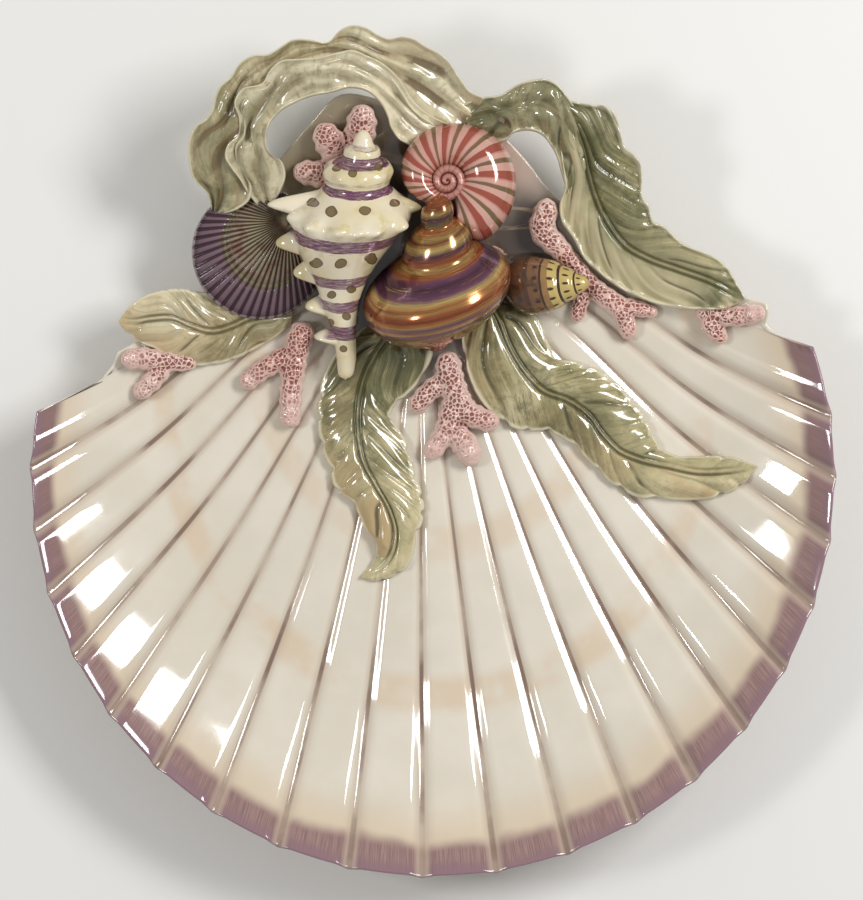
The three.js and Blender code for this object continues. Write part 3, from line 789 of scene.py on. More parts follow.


# %% [markdown]
# The dish's paint is laid by the stored marks: cream all over, brown painted shade round the hinge that is
# partly an antique wash, two broken tan arcs like growth lines, a blush and then a streaky mauve band at the
# rim with painted shade on its sides, and brown that ran into the grooves. Each wash is a function that takes
# the colour so far and lays its own over it, in the order a painter works.

# %% Dish colours
CREAM = srgb(212, 204, 188)
PALE_CREAM = srgb(219, 211, 196)
TAN = srgb(208, 184, 154)
RIM_TAN = srgb(206, 178, 140)
GROOVE_BROWN = srgb(112, 86, 72)
GROOVE_TAN = srgb(194, 176, 156)
MAUVE = srgb(158, 125, 123)
DARK_MAUVE = srgb(108, 80, 80)
SHADED_SIDE_MAUVE = srgb(124, 92, 93)
RIM_VIOLET = srgb(126, 94, 112)
LIP_VIOLET = srgb(136, 104, 126)
HINGE_SHADE_BROWN = srgb(72, 57, 50)
BANK_KHAKI = srgb(126, 114, 88)
BANK_ROSE = srgb(208, 188, 172)
CLAY = srgb(214, 200, 176)
PALE_CLAY = srgb(228, 217, 197)

# %% Painted shade at the hinge, and washes across the ribs
KELP_BANK = seated((320, 135)) * MM
ROSE_BANK = seated((527, 152)) * MM
HINGE_Y = HINGE[1] * MM
ARC_SHARE = 0.683
ARC_SAG = 0.034
ARC_SWAY = 0.241
ARC_PHASE = 2.69
INNER_ARC_BACK = 0.25


def hinge_shade_and_wash(tree, colour):
    """Brown painted shade round the hinge among the shells, partly an antique wash, and the tints on the
    banks of the two finger holes, the left one darkened as painted shade.
    """
    place = place_of(tree)
    up_page = wire(tree, "ShaderNodeSeparateXYZ", "Y", {0: place})
    behind = up_page.step(HINGE_Y - 12 * MM, HINGE_Y + 4 * MM, 0.0, 10 * MM)
    near = (mark(tree, "distance") - behind).step(46 * MM, 22 * MM, 0.0, 0.95)
    # Brown painted shade round the hinge, where the shells sit close, which also stands for an antique wash.
    colour = mix(near * noise(place, 50.0).step(0.3, 0.6, 0.65, 1.0), colour, HINGE_SHADE_BROWN)
    # Khaki on the left hole's bank, darkened as painted shade under the upper coral.
    colour = mix(away_from(place, KELP_BANK).step(12 * MM, 30 * MM, 0.85, 0.0), colour, BANK_KHAKI)
    return mix(away_from(place, ROSE_BANK).step(6 * MM, 16 * MM, 0.9, 0.0), colour, BANK_ROSE)


def growth_arcs(tree, colour):
    """Two broken tan arcs across the ribs. Also gives where their colour gathers in the grooves."""
    share = mark(tree, "share")
    broken = noise(place_of(tree), 55.0).step(0.36, 0.62)
    sway = calc(tree, "COSINE", mark(tree, "fan") * ARC_SWAY - ARC_PHASE)
    outer_arc = sway * ARC_SAG + ARC_SHARE
    gathered = []
    for centre, width, strength in ((outer_arc, 0.042, 0.62), (outer_arc - INNER_ARC_BACK, 0.04, 0.45)):
        away = abs(share - centre)
        gathered.append(away.step(0.5 * width, 2.2 * width, 1.0, 0.0))
        colour = mix(away.step(0.35 * width, width, 1.0, 0.0) * broken * strength, colour, TAN)
    return colour, gathered[0] + gathered[1]


# %% Washes at the rim and in the grooves
BLUSH = (24 * MM, 8 * MM)
BAND = (10.4 * MM, 6 * MM)
VIOLET_EDGE = (3.6 * MM, 0.6 * MM)
TORN = 1.6 * MM
PATCHED = 7 * MM
FRONT_GROOVE = 9.5


def rim_wash(tree, colour):
    """Tan blush, then a streaky mauve band with a torn inner edge, painted shade on its sides and a violet
    brim.
    """
    fan, share, rim = mark(tree, "fan"), mark(tree, "share"), mark(tree, "rim")
    streak = noise(place_from(fan * 44.0, share * 12.0), 1.5, 4.0, 0.6)
    patch = noise(place_of(tree), 38.0) - 0.5
    inset = mark(tree, "distance") * ((1.0 - share) / share) / fan.step(2.0, 8.0, 0.82, 1.0)
    ragged = inset - (streak - 0.5) * TORN - patch * PATCHED
    colour = mix(ragged.step(*BLUSH) * 0.46 * rim, colour, RIM_TAN)
    mauve = mix(streak.step(0.3, 0.7, 0.2, 1.0), DARK_MAUVE, MAUVE)
    # Painted shade: the band is darker on the sides of the rim, away from the front.
    mauve = mix(abs(fan - FRONT_GROOVE).step(6.0, 9.0, 0.0, 0.7), mauve, SHADED_SIDE_MAUVE)
    mauve = mix(ragged.step(*VIOLET_EDGE, 0.0, 0.6), mauve, RIM_VIOLET)
    band = ragged.step(*BAND) * share.step(1.045, 1.05, 1.0, 0.0)
    return mix(band * 0.94 * rim, colour, mauve)


def groove_wash(tree, colour, gathered):
    """Tan in the grooves, patchy brown in their creases, and violet on the lip."""
    share = mark(tree, "share")
    colour = mix(mark(tree, "groove").step(0.3, 0.9, 0.0, 0.55), colour, GROOVE_TAN)
    pooled = mark(tree, "crease").step(0.1, 0.75) * share.step(0.2, 0.8, 0.6, 0.9)
    patchy = noise(place_of(tree), 48.0, 4.0).step(0.36, 0.66, 0.2, 0.75)
    patchy = calc(tree, "MINIMUM", gathered * 0.5 + patchy, 1.0)
    colour = mix(pooled * patchy, colour, GROOVE_BROWN)
    lip = share.step(1.006, 1.012) * share.step(1.034, 1.05, 1.0, 0.0)
    return mix(lip * 0.5 * mark(tree, "rim"), colour, LIP_VIOLET)


# %% Dish and foot


def dish_paint(tree, mottle):
    """Cream ground, with painted shade at the hinge and each wash laid over it in turn."""
    colour = mix(mottle.step(0.35, 0.7), CREAM, PALE_CREAM)
    colour = hinge_shade_and_wash(tree, colour)
    colour, gathered = growth_arcs(tree, colour)
    colour = rim_wash(tree, colour)
    return groove_wash(tree, colour, gathered)


def bare_clay_paint(tree, mottle):
    """Unglazed clay of the foot."""
    return mix(mottle.step(0.35, 0.7), CLAY, PALE_CLAY)


dish = make_dish(glazed("dish_cream_glaze", dish_paint, gloss=0.07, ripple=0.012, coat=0.5))
dress(dish, "scallop_dish", None)
foot = make_foot()
foot.data.materials.append(glazed("foot_bare_clay", bare_clay_paint, gloss=0.5, coat=0.0))
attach(foot, "root")

# %% [markdown]
# ## Kelp
# Each frond is a strip of clay with a midrib, side veins and a ruffled margin. Three lines picked on the
# photograph give its plan: one margin, the midrib, the other margin. Everything across it follows a rule.

# %% Blade of a frond
FROND_ROWS = 190
even_spots = np.linspace(-1, 1, 77)
FROND_SPOTS = even_spots - 0.08 * np.sin(2 * math.pi * even_spots)
FULL_HALF_WIDTH = 7.0


class Blade:
    """What a frond's shape and paint share, over rows along it and spots across it."""

    def __init__(self, left, rib, right, veins, rake):
        shares = np.linspace(0, 1, FROND_ROWS)
        lines = [smooth_path(from_photo(line), shares) for line in (left, rib, right)]
        self.left, self.rib, self.right = lines
        self.along = shares[:, None]
        self.side = np.abs(FROND_SPOTS)[None, :]
        on_left = FROND_SPOTS[None, :] < 0
        widths = [np.linalg.norm(line - self.rib, axis=1)[:, None] for line in (self.left, self.right)]
        self.half = np.where(on_left, *widths)
        self.margin = np.where(on_left[..., None], self.left[:, None], self.right[:, None])
        self.body = np.clip(self.half / FULL_HALF_WIDTH, 0.1, 1)
        self.off = self.side * self.half
        uneven = 0.4 * np.sin(11 * self.along + 1) + 0.25 * np.sin(20 * self.along)
        lag = self.off * veins / path_length(self.rib) * rake
        self.course = self.along * veins + uneven - lag + np.where(on_left, 0.0, 0.5)
        self.number = np.round(self.course)
        self.nearest = np.abs(self.course - self.number)

    def plan(self, lobe):
        """Plan points, with the margin notched where each vein ends."""
        notch = lobe * hump(self.nearest, 0.16) * self.side**4 * self.body
        share = self.side - notch / np.maximum(self.half, 1)
        return self.rib[:, None] + (self.margin - self.rib[:, None]) * share[..., None]


# %% Relief of a frond
FURROW_AT = 0.85
FURROW_WIDTH = 0.5
FURROW_DEPTH = 0.65
BEAD_RISE = 0.3
VEIN_DEPTH = 0.3
HEM_WIDTH = 0.8


def vein_lines(blade):
    """Side veins, strongest half way out, each with its own strength."""
    inner, outer = ease(blade.off, 0.8, 2.5), 1 - ease(blade.side, 0.62, 0.9)
    return hump(blade.nearest, 0.13) * inner * outer * blade.body * (0.6 + 0.4 * np.sin(2.1 * blade.number))


def quilting(blade, puffing, calm):
    """Puffs between the veins. The half on the right-hand line can be calmer."""
    puff = np.sqrt(np.abs(np.sin(math.pi * blade.course)) + 0.02) - 0.76
    share = np.where(FROND_SPOTS > 0, 1 - calm, 1)[None, :]
    return puffing * puff * ease(blade.off, 1, 4) * (0.7 + 0.3 * np.sin(1.7 * blade.number)) * share


def pleats(blade, pleat):
    """Long folds that wander along the blade."""
    wander = 2.6 * np.sin(5 * math.pi * blade.along) + np.sin(13 * blade.along)
    return pleat * np.cos(2.4 * math.pi * FROND_SPOTS[None, :] + wander) * (1 - blade.side**2)


def relief_of(blade, form, vein, furrow, fold):
    """Height of the blade over its edge."""
    bead = hump(blade.off, FURROW_WIDTH) * blade.body * form["ribbing"]
    wave = np.sin(2 * math.pi * (blade.course + 0.5 * blade.along)) * ease(blade.side, 0.45, 1.0)
    pillow = (1 - blade.side**2.6) * (0.8 + 0.2 * ease(blade.off, 0, 3.5))
    hem = hump((1 - blade.side) * blade.half, HEM_WIDTH)
    swell = form["lip"] * hem + form["crown"] * pillow + form["ruffle"] * wave
    swell = swell + quilting(blade, form["puffing"], form["calm"])
    return fold + swell * blade.body - FURROW_DEPTH * furrow + BEAD_RISE * bead - VEIN_DEPTH * vein


# %% Frond builder
EDGE_BULGE = 0.35
UNDER_POINTS = 5


def underside(blade, top, base, under):
    """Ring points from the right edge, under the blade and back to the left edge."""
    across = blade.right - blade.left
    outward = across / np.maximum(np.linalg.norm(across, axis=1), TINY)[:, None]

    def edge(column, way):
        """Waist and foot of one edge."""
        rim, low = top[:, column], base[:, column]
        waist = np.column_stack([rim[:, :2] + way * EDGE_BULGE * outward, 0.7 * rim[:, 2] + 0.3 * low])
        return waist, np.column_stack([rim[:, :2], low])

    right_waist, right_low = edge(-1, 1)
    left_waist, left_low = edge(0, -1)
    keel = np.column_stack([blade.rib, seat(*blade.rib.T) + under])
    return np.stack([right_waist, right_low, keel, left_low, left_waist], 1)


def make_frond(name, left, rib, right, form):
    """Closed strip between two margins, with a raised midrib between two furrows."""
    blade = Blade(left, rib, right, form["veins"], form["rake"])
    plan = blade.plan(form["lobe"])
    ground = seat(plan[..., 0], plan[..., 1])
    vein = vein_lines(blade)
    furrow = hump(blade.off - FURROW_AT, FURROW_WIDTH) * blade.body * form["ribbing"]
    fold = pleats(blade, form["pleat"])
    thick = form["edge"] * (0.55 + 0.45 * blade.body)
    top = np.dstack([plan, ground + thick + relief_of(blade, form, vein, furrow, fold)])
    rings = np.concatenate([top, underside(blade, top, ground + form["under"], form["under"])], 1)

    def padded(field, below=0.0):
        """A field of the blade, with a value for the points underneath."""
        field = np.broadcast_to(field, top.shape[:2])
        return np.concatenate([field, np.full((FROND_ROWS, UNDER_POINTS), below)], 1)

    return loft(name, rings, across=padded(blade.side, 1.0), bank=padded(FROND_SPOTS), vein=padded(vein),
                dip=padded(np.clip(-fold, 0, 1)), furrow=padded(furrow), course=padded(blade.course),
                off=padded(blade.off), along=np.repeat(blade.along, rings.shape[1], 1))


# %% [markdown]
# The watercolour on the kelp is khaki that drifts to green and to a warm tan, darker in the veins. Painted
# shade darkens the hollows, the dips of the folds and the near ends, and the margins are paler, partly as a
# painted highlight.

# %% Kelp washes
KELP_TAN = srgb(184, 158, 116)
KELP_GREEN = srgb(90, 94, 60)
KELP_SHADE_BROWN = srgb(108, 90, 62)
KELP_EDGE_AND_HIGHLIGHT = srgb(216, 209, 182)


def brushed(tree, tones, root):
    """Washes with brush strokes along the veins, with painted shade in the hollow and at the root."""
    pale, middle, dark = tones[:3]
    along, place = mark(tree, "along"), place_of(tree)
    feeds = {"Pale": pale, "Middle": middle, "Dark": dark, "Scale": 52.0}
    colour = wire(tree, "ShaderNodeGroup", "Color", feeds, node_tree=WASH)
    stroke = noise(place_from(mark(tree, "course") * 5.0, mark(tree, "off") * 0.18), 1.0, 6.0, 0.74)
    colour = mix(stroke.step(0.5, 0.64, 0.0, 0.65), colour, dark)
    colour = mix(stroke.step(0.47, 0.34, 0.0, 0.6), colour, pale)
    colour = mix(noise(place, 190.0, 5.0, 0.7).step(0.5, 0.64, 0.0, 0.5), colour, dark)
    blot = noise(place, 70.0, 4.0).step(0.38, 0.6)
    # Painted shade down the hollow of the blade, and at the near end where shells lie over the roots; the
    # near end is also the kelp's own darker olive.
    hollow_shade = mark(tree, "across").step(0.85, 0.1) * along.step(0.85, 0.3, 0.3, 1.0)
    colour = mix(hollow_shade * blot * 0.7, colour, dark)
    shaded = along.step(0.65, 0.1, 0.0, root) * stroke.step(0.4, 0.55, 0.5, 1.0)
    colour = mix(shaded, colour, dark)
    return mix(along.step(0.4, 0.75, 0.0, 0.4), colour, pale), blot


def kelp_paint(tones, root, tip, tip_colour, tip_from=0.25, fold_shade_strength=0.0, straw=0.0, tip_side=0):
    """Brushed kelp colour. Root is how much painted shade darkens the near end, tip how much of the far end
    takes its own colour, the fold strength how much brown painted shade lies in the dips of the folds, and
    straw how pale the right-hand half is."""

    def paint(tree, mottle):
        bank = mark(tree, "bank")
        colour, blot = brushed(tree, tones, root)
        colour = mix(bank.step(0.06, 0.4, 0.0, straw), colour, tones[0])
        sided = (bank * tip_side + (1.0 - abs(tip_side))).step(-0.15, 0.3)
        drift = noise(place_of(tree), 60.0, 4.0).step(0.38, 0.56) * sided
        colour = mix(drift * mark(tree, "along").step(tip_from, 0.95, 0.2, tip), colour, tip_colour)
        vein = mark(tree, "vein").step(0.25, 0.95) * mottle.step(0.34, 0.54)
        colour = mix(vein * 0.8, colour, tones[3])
        colour = mix(mark(tree, "furrow").step(0.2, 0.95, 0.0, 0.75), colour, tones[3])
        # Brown painted shade in the dips of the folds.
        fold_shade = mark(tree, "dip").step(0.05, 0.55) * blot.step(0.0, 0.7, 0.25, 1.0)
        colour = mix(fold_shade * fold_shade_strength, colour, KELP_SHADE_BROWN)
        # Pale margins, partly a painted highlight along the edges.
        return mix(mark(tree, "across").step(0.9, 0.98, 0.0, 0.8), colour, KELP_EDGE_AND_HIGHLIGHT)
    return paint


# %% Kelp finishes, each from a pale, a middle, a dark and a vein tone
KELP_TONES = (srgb(206, 194, 154), srgb(162, 152, 110), srgb(82, 83, 50), srgb(60, 58, 34))
FROND_TONES = (srgb(206, 194, 156), srgb(150, 141, 99), srgb(76, 79, 47), srgb(66, 64, 38))
STRAW_TONES = (srgb(218, 207, 174), srgb(188, 176, 140), srgb(98, 95, 60), srgb(76, 70, 42))
INNER_TONES = (srgb(228, 218, 189), srgb(212, 201, 169), srgb(132, 124, 90), srgb(94, 84, 54))
LOOP_TONES = (srgb(218, 209, 178), srgb(180, 172, 138), srgb(96, 97, 68), srgb(74, 70, 46))
DEEP_TONES = (srgb(178, 169, 132), srgb(140, 134, 100), srgb(88, 86, 58), srgb(64, 62, 42))
# Root sets the painted shade at each near end: heavy on the front-left leaf, light on the front-right.
leaf_paint = kelp_paint(KELP_TONES, 0.95, 0.95, KELP_TAN, tip_side=-1)
light_paint = kelp_paint(KELP_TONES, 0.3, 0.95, KELP_TAN, tip_from=0.4, tip_side=1)
frond_paint = kelp_paint(FROND_TONES, 0.75, 0.95, KELP_GREEN, tip_from=0.76, straw=0.8)
loop_paint = kelp_paint(LOOP_TONES, 0.45, 0.4, KELP_TAN, fold_shade_strength=0.85)
inner_paint = kelp_paint(INNER_TONES, 0.0, 0.35, KELP_GREEN, fold_shade_strength=0.45)
straw_paint = kelp_paint(STRAW_TONES, 0.75, 0.6, KELP_TAN)
deep_paint = kelp_paint(DEEP_TONES, 0.3, 0.6, KELP_GREEN, tip_from=0.5)
KELP_LEAF = glazed("kelp_leaf_glaze", leaf_paint, gloss=0.1)
KELP_LIGHT = glazed("kelp_light_glaze", light_paint, gloss=0.1)
KELP_FROND = glazed("kelp_frond_glaze", frond_paint, gloss=0.09)
KELP_LOOP = glazed("kelp_loop_glaze", loop_paint, gloss=0.09)
KELP_INNER = glazed("kelp_inner_glaze", inner_paint, gloss=0.09)
KELP_STRAW = glazed("kelp_straw_glaze", straw_paint, gloss=0.09)
KELP_DEEP = glazed("kelp_deep_glaze", deep_paint, gloss=0.09)
print("finishes so far:", len(bpy.data.materials))

# %% [markdown]
# Two fronds make the loop handle on the left, one arches over the right hole and one hangs beside it. They
# bridge open air, so they are thick and have a modelled underside.

# %% Loop of the handle
HANDLE_UNDER = 0.3
HANDLE_FORM = dict(under=HANDLE_UNDER, lip=1.4, lobe=0.0, calm=0.75)
LOOP_CREASE = [(226, 158), (228, 147), (239, 135), (240, 120), (236, 105), (242, 93), (264, 85),
               (271, 73), (280, 65), (300, 62), (320, 60), (340, 55), (352, 53), (366, 58), (383, 66),
               (395, 76), (405, 89), (415, 103), (430, 115), (448, 124), (470, 130)]
LOOP_MARGIN = [(211, 209), (207, 193), (194, 179), (190, 160), (191, 141), (197, 129), (208, 121),
               (214, 111), (217, 99), (222, 89), (232, 80), (240, 68), (253, 59), (270, 57), (282, 50),
               (294, 43), (310, 43), (328, 45), (340, 34), (352, 29), (366, 31), (378, 38), (389, 42),
               (402, 40), (413, 42), (425, 49), (440, 57), (450, 66), (458, 78), (468, 91), (484, 99)]
LOOP_HOLE = [(270, 203), (279, 190), (284, 172), (279, 159), (271, 155), (267, 147), (266, 135),
             (270, 123), (280, 112), (295, 103), (310, 97), (335, 92), (350, 88), (369, 92), (382, 104),
             (388, 115), (392, 128), (399, 138), (410, 144)]
OUTER_START = [(215, 214), (236, 208), (248, 198), (250, 185), (243, 172)]
INNER_START = [(258, 206), (249, 194), (240, 179), (231, 167)]
TUCK = 0.2
TUCK_FROM = 0.18


def middle_line(first, second, count=12):
    """Line half way between two margins."""
    shares = np.linspace(0, 1, count)
    return (smooth_path(first, shares) + smooth_path(second, shares)) / 2


def dress_kelp(name, left, rib, right, form, material):
    """Make a frond, and let it stand for its solid."""
    piece = make_frond(name + "_painted", left, rib, right, form)
    dress(piece, name, material)


hole_side = smooth_path(LOOP_HOLE, np.linspace(TUCK_FROM, 1, len(LOOP_CREASE)))
tucked = np.array(LOOP_CREASE) * (1 - TUCK) + TUCK * hole_side
outer_inside = np.concatenate([OUTER_START, tucked])
inner_outside = INNER_START + LOOP_CREASE
outer_form = dict(HANDLE_FORM, edge=5.4, crown=-0.8, veins=9, ruffle=0.9, ribbing=0.1, rake=0.6, puffing=1.3,
                  pleat=0.9)
inner_form = dict(HANDLE_FORM, edge=6.0, crown=0.6, veins=7, ruffle=0.7, ribbing=0.1, rake=0.6, puffing=1.1,
                  pleat=0.7)
outer_middle = middle_line(LOOP_MARGIN, outer_inside)
inner_middle = middle_line(inner_outside, LOOP_HOLE)
dress_kelp("kelp_loop_outer", LOOP_MARGIN, outer_middle, outer_inside, outer_form, KELP_LOOP)
dress_kelp("kelp_loop_inner", inner_outside, inner_middle, LOOP_HOLE, inner_form, KELP_INNER)

# %% Arch and hanging frond on the right
ARCH_OUTSIDE = [(462, 104), (484, 98), (502, 95), (515, 87), (530, 82), (545, 81), (556, 86), (566, 97),
                (577, 112), (586, 132), (594, 156)]
ARCH_RIB = [(466, 120), (498, 112), (522, 105), (545, 106), (559, 116), (568, 132), (575, 152), (582, 176)]
ARCH_INSIDE = [(470, 138), (490, 140), (507, 138), (513, 132), (525, 129), (540, 132), (550, 142),
               (557, 154), (562, 170), (570, 194)]
FROND_OUTSIDE = [(556, 98), (575, 103), (590, 106), (602, 107), (612, 113), (617, 122), (620, 135),
                 (625, 148), (634, 155), (640, 164), (642, 180), (642, 195), (649, 206), (654, 221),
                 (666, 227), (676, 237), (689, 246), (705, 253), (718, 259), (728, 268), (736, 281),
                 (746, 298)]
FROND_RIB = [(560, 108), (575, 128), (584, 150), (590, 175), (598, 200), (610, 224), (626, 244),
             (650, 258), (680, 269), (712, 281), (744, 299)]
FROND_INSIDE = [(553, 112), (557, 130), (561, 150), (564, 170), (566, 186), (561, 202), (563, 218),
                (575, 236), (585, 255), (600, 270), (620, 285), (640, 295), (662, 303), (700, 308),
                (728, 307), (744, 300)]
arch_form = dict(HANDLE_FORM, edge=3.8, crown=3.0, veins=5, ruffle=0.7, ribbing=0.3, rake=0.8, puffing=0.6,
                 pleat=0.5)
frond_form = dict(HANDLE_FORM, edge=3.8, crown=3.2, veins=10, ruffle=0.6, ribbing=1.0, rake=2.2, puffing=1.8,
                  pleat=0.0)
dress_kelp("kelp_arch_right", ARCH_OUTSIDE, ARCH_RIB, ARCH_INSIDE, arch_form, KELP_DEEP)
dress_kelp("kelp_frond_right", FROND_OUTSIDE, FROND_RIB, FROND_INSIDE, frond_form, KELP_FROND)

# %% [markdown]
# The three leaves lie on the dish, so they are the same blade, thinner, sunk a little into what carries them.

# %% Leaves on the dish
LEAF_FORM = dict(under=-1.6, ribbing=1.0, rake=1.1, puffing=1.2, lip=0.3, pleat=0.0, calm=0.0)
LEFT_LEAF_LOW = [(290, 322), (264, 342), (245, 352), (225, 360), (205, 364), (182, 363), (166, 357),
                 (154, 348), (136, 341), (129, 333), (121, 328), (117, 320)]
LEFT_LEAF_RIB = [(292, 310), (245, 318), (230, 325), (210, 330), (190, 325), (170, 317), (150, 318),
                 (132, 321), (117, 320)]
LEFT_LEAF_HIGH = [(290, 298), (262, 294), (230, 291), (195, 291), (180, 288), (165, 289), (150, 293),
                  (137, 299), (126, 308), (117, 320)]
FRONT_LEFT_OUTSIDE = [(365, 325), (340, 345), (325, 370), (318, 395), (317, 420), (320, 445), (329, 468),
                      (335, 489), (349, 500), (358, 515), (365, 530), (376, 546), (373, 562), (360, 578)]
FRONT_LEFT_RIB = [(392, 330), (383, 342), (366, 370), (358, 400), (357, 430), (362, 460), (375, 485),
                  (389, 510), (395, 530), (392, 553), (381, 569), (360, 579)]
FRONT_LEFT_INSIDE = [(425, 335), (432, 350), (430, 365), (420, 380), (405, 395), (391, 410), (395, 425),
                     (405, 440), (410, 455), (413, 470), (420, 490), (423, 505), (422, 520), (416, 538),
                     (412, 555), (404, 570), (390, 578), (375, 582), (361, 580)]
FRONT_RIGHT_HIGH = [(500, 300), (538, 316), (548, 340), (560, 357), (580, 362), (600, 370), (615, 379),
                    (630, 395), (640, 408), (648, 420), (655, 436), (665, 450), (680, 457), (700, 457),
                    (735, 458), (757, 466)]
FRONT_RIGHT_RIB = [(490, 300), (500, 320), (510, 345), (525, 370), (545, 390), (570, 400), (590, 415),
                   (605, 435), (620, 450), (640, 459), (670, 466), (700, 472), (730, 471), (757, 467)]
FRONT_RIGHT_LOW = [(462, 335), (464, 355), (470, 376), (478, 394), (490, 410), (505, 422), (525, 430),
                   (545, 430), (560, 435), (580, 450), (595, 465), (610, 480), (625, 490), (640, 497),
                   (660, 500), (690, 500), (715, 498), (735, 490), (749, 480), (757, 468)]
left_form = dict(LEAF_FORM, edge=2.0, crown=3.0, veins=8, ruffle=0.3, lobe=0.3)
front_form = dict(LEAF_FORM, edge=2.2, crown=3.4, veins=10, ruffle=0.4, lobe=1.0)
dress_kelp("kelp_leaf_left", LEFT_LEAF_LOW, LEFT_LEAF_RIB, LEFT_LEAF_HIGH, left_form, KELP_STRAW)
dress_kelp("kelp_leaf_front_left", FRONT_LEFT_OUTSIDE, FRONT_LEFT_RIB, FRONT_LEFT_INSIDE, front_form,
           KELP_LEAF)
dress_kelp("kelp_leaf_front_right", FRONT_RIGHT_HIGH, FRONT_RIGHT_RIB, FRONT_RIGHT_LOW, front_form,
           KELP_LIGHT)

# %% [markdown]
# ## Coral
# A coral sprig is a few rolls of clay pressed together and pricked all over. Overlapping tubes are fused by a
# voxel remesh, and Geometry Nodes prick the pits, which also mark where the dark red wash settled.

# %% Pit tree
PIT_SIZES = {"Spacing": "Float", "Depth": "Float", "Heart": "Vector", "Near": "Float", "Far": "Float"}
PIT_RANDOMNESS = 0.9


def pit_tree():
    """Pricks pits into the crest of a surface, fewer far from its heart, and marks them."""
    tree, inside, out = surface_tree("prick_pits", PIT_SIZES)
    place = wire(tree, "GeometryNodeInputPosition", 0)
    normal = wire(tree, "GeometryNodeInputNormal", 0)
    feeds = {"Vector": place, "Scale": 1.0 / inside["Spacing"], "Randomness": PIT_RANDOMNESS}
    from_wall = wire(tree, "ShaderNodeTexVoronoi", "Distance", feeds, feature="DISTANCE_TO_EDGE")
    patchy = wire(tree, "ShaderNodeTexNoise", "Fac", {"Vector": place, "Scale": 110.0, "Detail": 2.0})
    facing = wire(tree, "ShaderNodeSeparateXYZ", "Z", {0: normal})
    crest = (facing + patchy * 0.9 - 0.45).step(0.35, 0.8)
    core = crest * away_from(place, inside["Heart"]).step(inside["Near"], inside["Far"], 1.0, 0.35)
    pit = from_wall.step(0.05, 0.18) * core
    pricked = pushed(inside, {"core": core, "pit": pit}, normal, pit * inside["Depth"] * -1.0)
    plug(pricked, out["Geometry"])
    return tree


PRICK_PITS = pit_tree()
print(PRICK_PITS.name, "takes", len(PIT_SIZES), "sizes")

# %% Coral builder
CORAL_VOXEL = 0.28
CORAL_SINK = 1.5
CORAL_PLUMP = 1.06
CORAL_SOFTENING = 6
PIT_SPACING = 1.35
PIT_DEPTH = 0.45
BRANCH_ROWS = 44
BRANCH_SIDES = 20


def branch_radius(radii, shares, length, phase):
    """Radius along a branch, round at both ends and a little lumpy."""
    given = np.column_stack([np.linspace(0, 1, len(radii)), np.array(radii) * PIXEL * CORAL_PLUMP])
    radius = smooth_path(given, shares)[:, 1]
    for end in (shares * length, (1 - shares) * length):
        radius = radius * np.sqrt(np.clip(1 - (1 - np.clip(end / radius, 0, 1)) ** 2, 0.02, 1))
    return radius * (1 + 0.07 * np.sin(shares * length * 1.7 + phase))


def branch_parts(spots, radii):
    """Roll of clay along picked points, lying on the dish."""
    shares = np.linspace(0, 1, BRANCH_ROWS)
    path = smooth_path(from_photo(spots), shares)
    radius = branch_radius(radii, shares, path_length(path), spots[0][0])[:, None]
    lift = 0.8 * np.interp(shares, np.linspace(0, 1, len(radii)), radii) * PIXEL
    height = (seat(path[:, 0], path[:, 1]) + lift)[:, None]
    way = np.gradient(path, axis=0)
    way /= np.linalg.norm(way, axis=1, keepdims=True)
    across = np.column_stack([-way[:, 1], way[:, 0]])
    turns = np.linspace(0, 2 * math.pi, BRANCH_SIDES, endpoint=False)
    plan = path[:, None] + across[:, None] * (radius * np.cos(turns))[..., None]
    low = seat(plan[..., 0], plan[..., 1]) - CORAL_SINK
    rings = np.dstack([plan, np.maximum(height + radius * np.sin(turns), low)])
    return loft_parts(rings, [rings[0].mean(0), rings[-1].mean(0)])


def make_coral(name, heart, near, far, branches, material):
    """Fused branches, pricked most within near pixels of the heart."""
    points, faces = np.zeros((0, 3)), []
    for spots, radii in branches:
        more, tube = branch_parts(spots, radii)
        faces += [[corner + len(points) for corner in face] for face in tube]
        points = np.concatenate([points, more])
    coral = mesh_object(name, points, faces, {})
    remesh = coral.modifiers.new("fuse", "REMESH")
    remesh.mode = "VOXEL"
    remesh.voxel_size = CORAL_VOXEL * MM
    coral.modifiers.new("soften", "SMOOTH").iterations = CORAL_SOFTENING
    sizes = {"Spacing": PIT_SPACING * MM, "Depth": PIT_DEPTH * MM, "Heart": tuple(seated(heart) * MM),
             "Near": near * PIXEL * MM, "Far": far * PIXEL * MM}
    run_tree(coral, PRICK_PITS, sizes, material)
    return coral


# %% Coral sprigs: heart, near and far in pixels, then each branch's points and radii
CORAL_PINK = srgb(214, 170, 158)
PALE_PINK = srgb(228, 198, 186)
TIP_PINK = srgb(216, 186, 176)
PIT_RED = srgb(130, 68, 58)


def coral_paint(tree, mottle):
    """Pink clay, with dark red in the pits."""
    pink = mix(mottle.step(0.34, 0.68), CORAL_PINK, PALE_PINK)
    colour = mix(mark(tree, "core"), TIP_PINK, pink)
    return mix(mark(tree, "pit").step(0.05, 0.9, 0.0, 0.95), colour, PIT_RED)


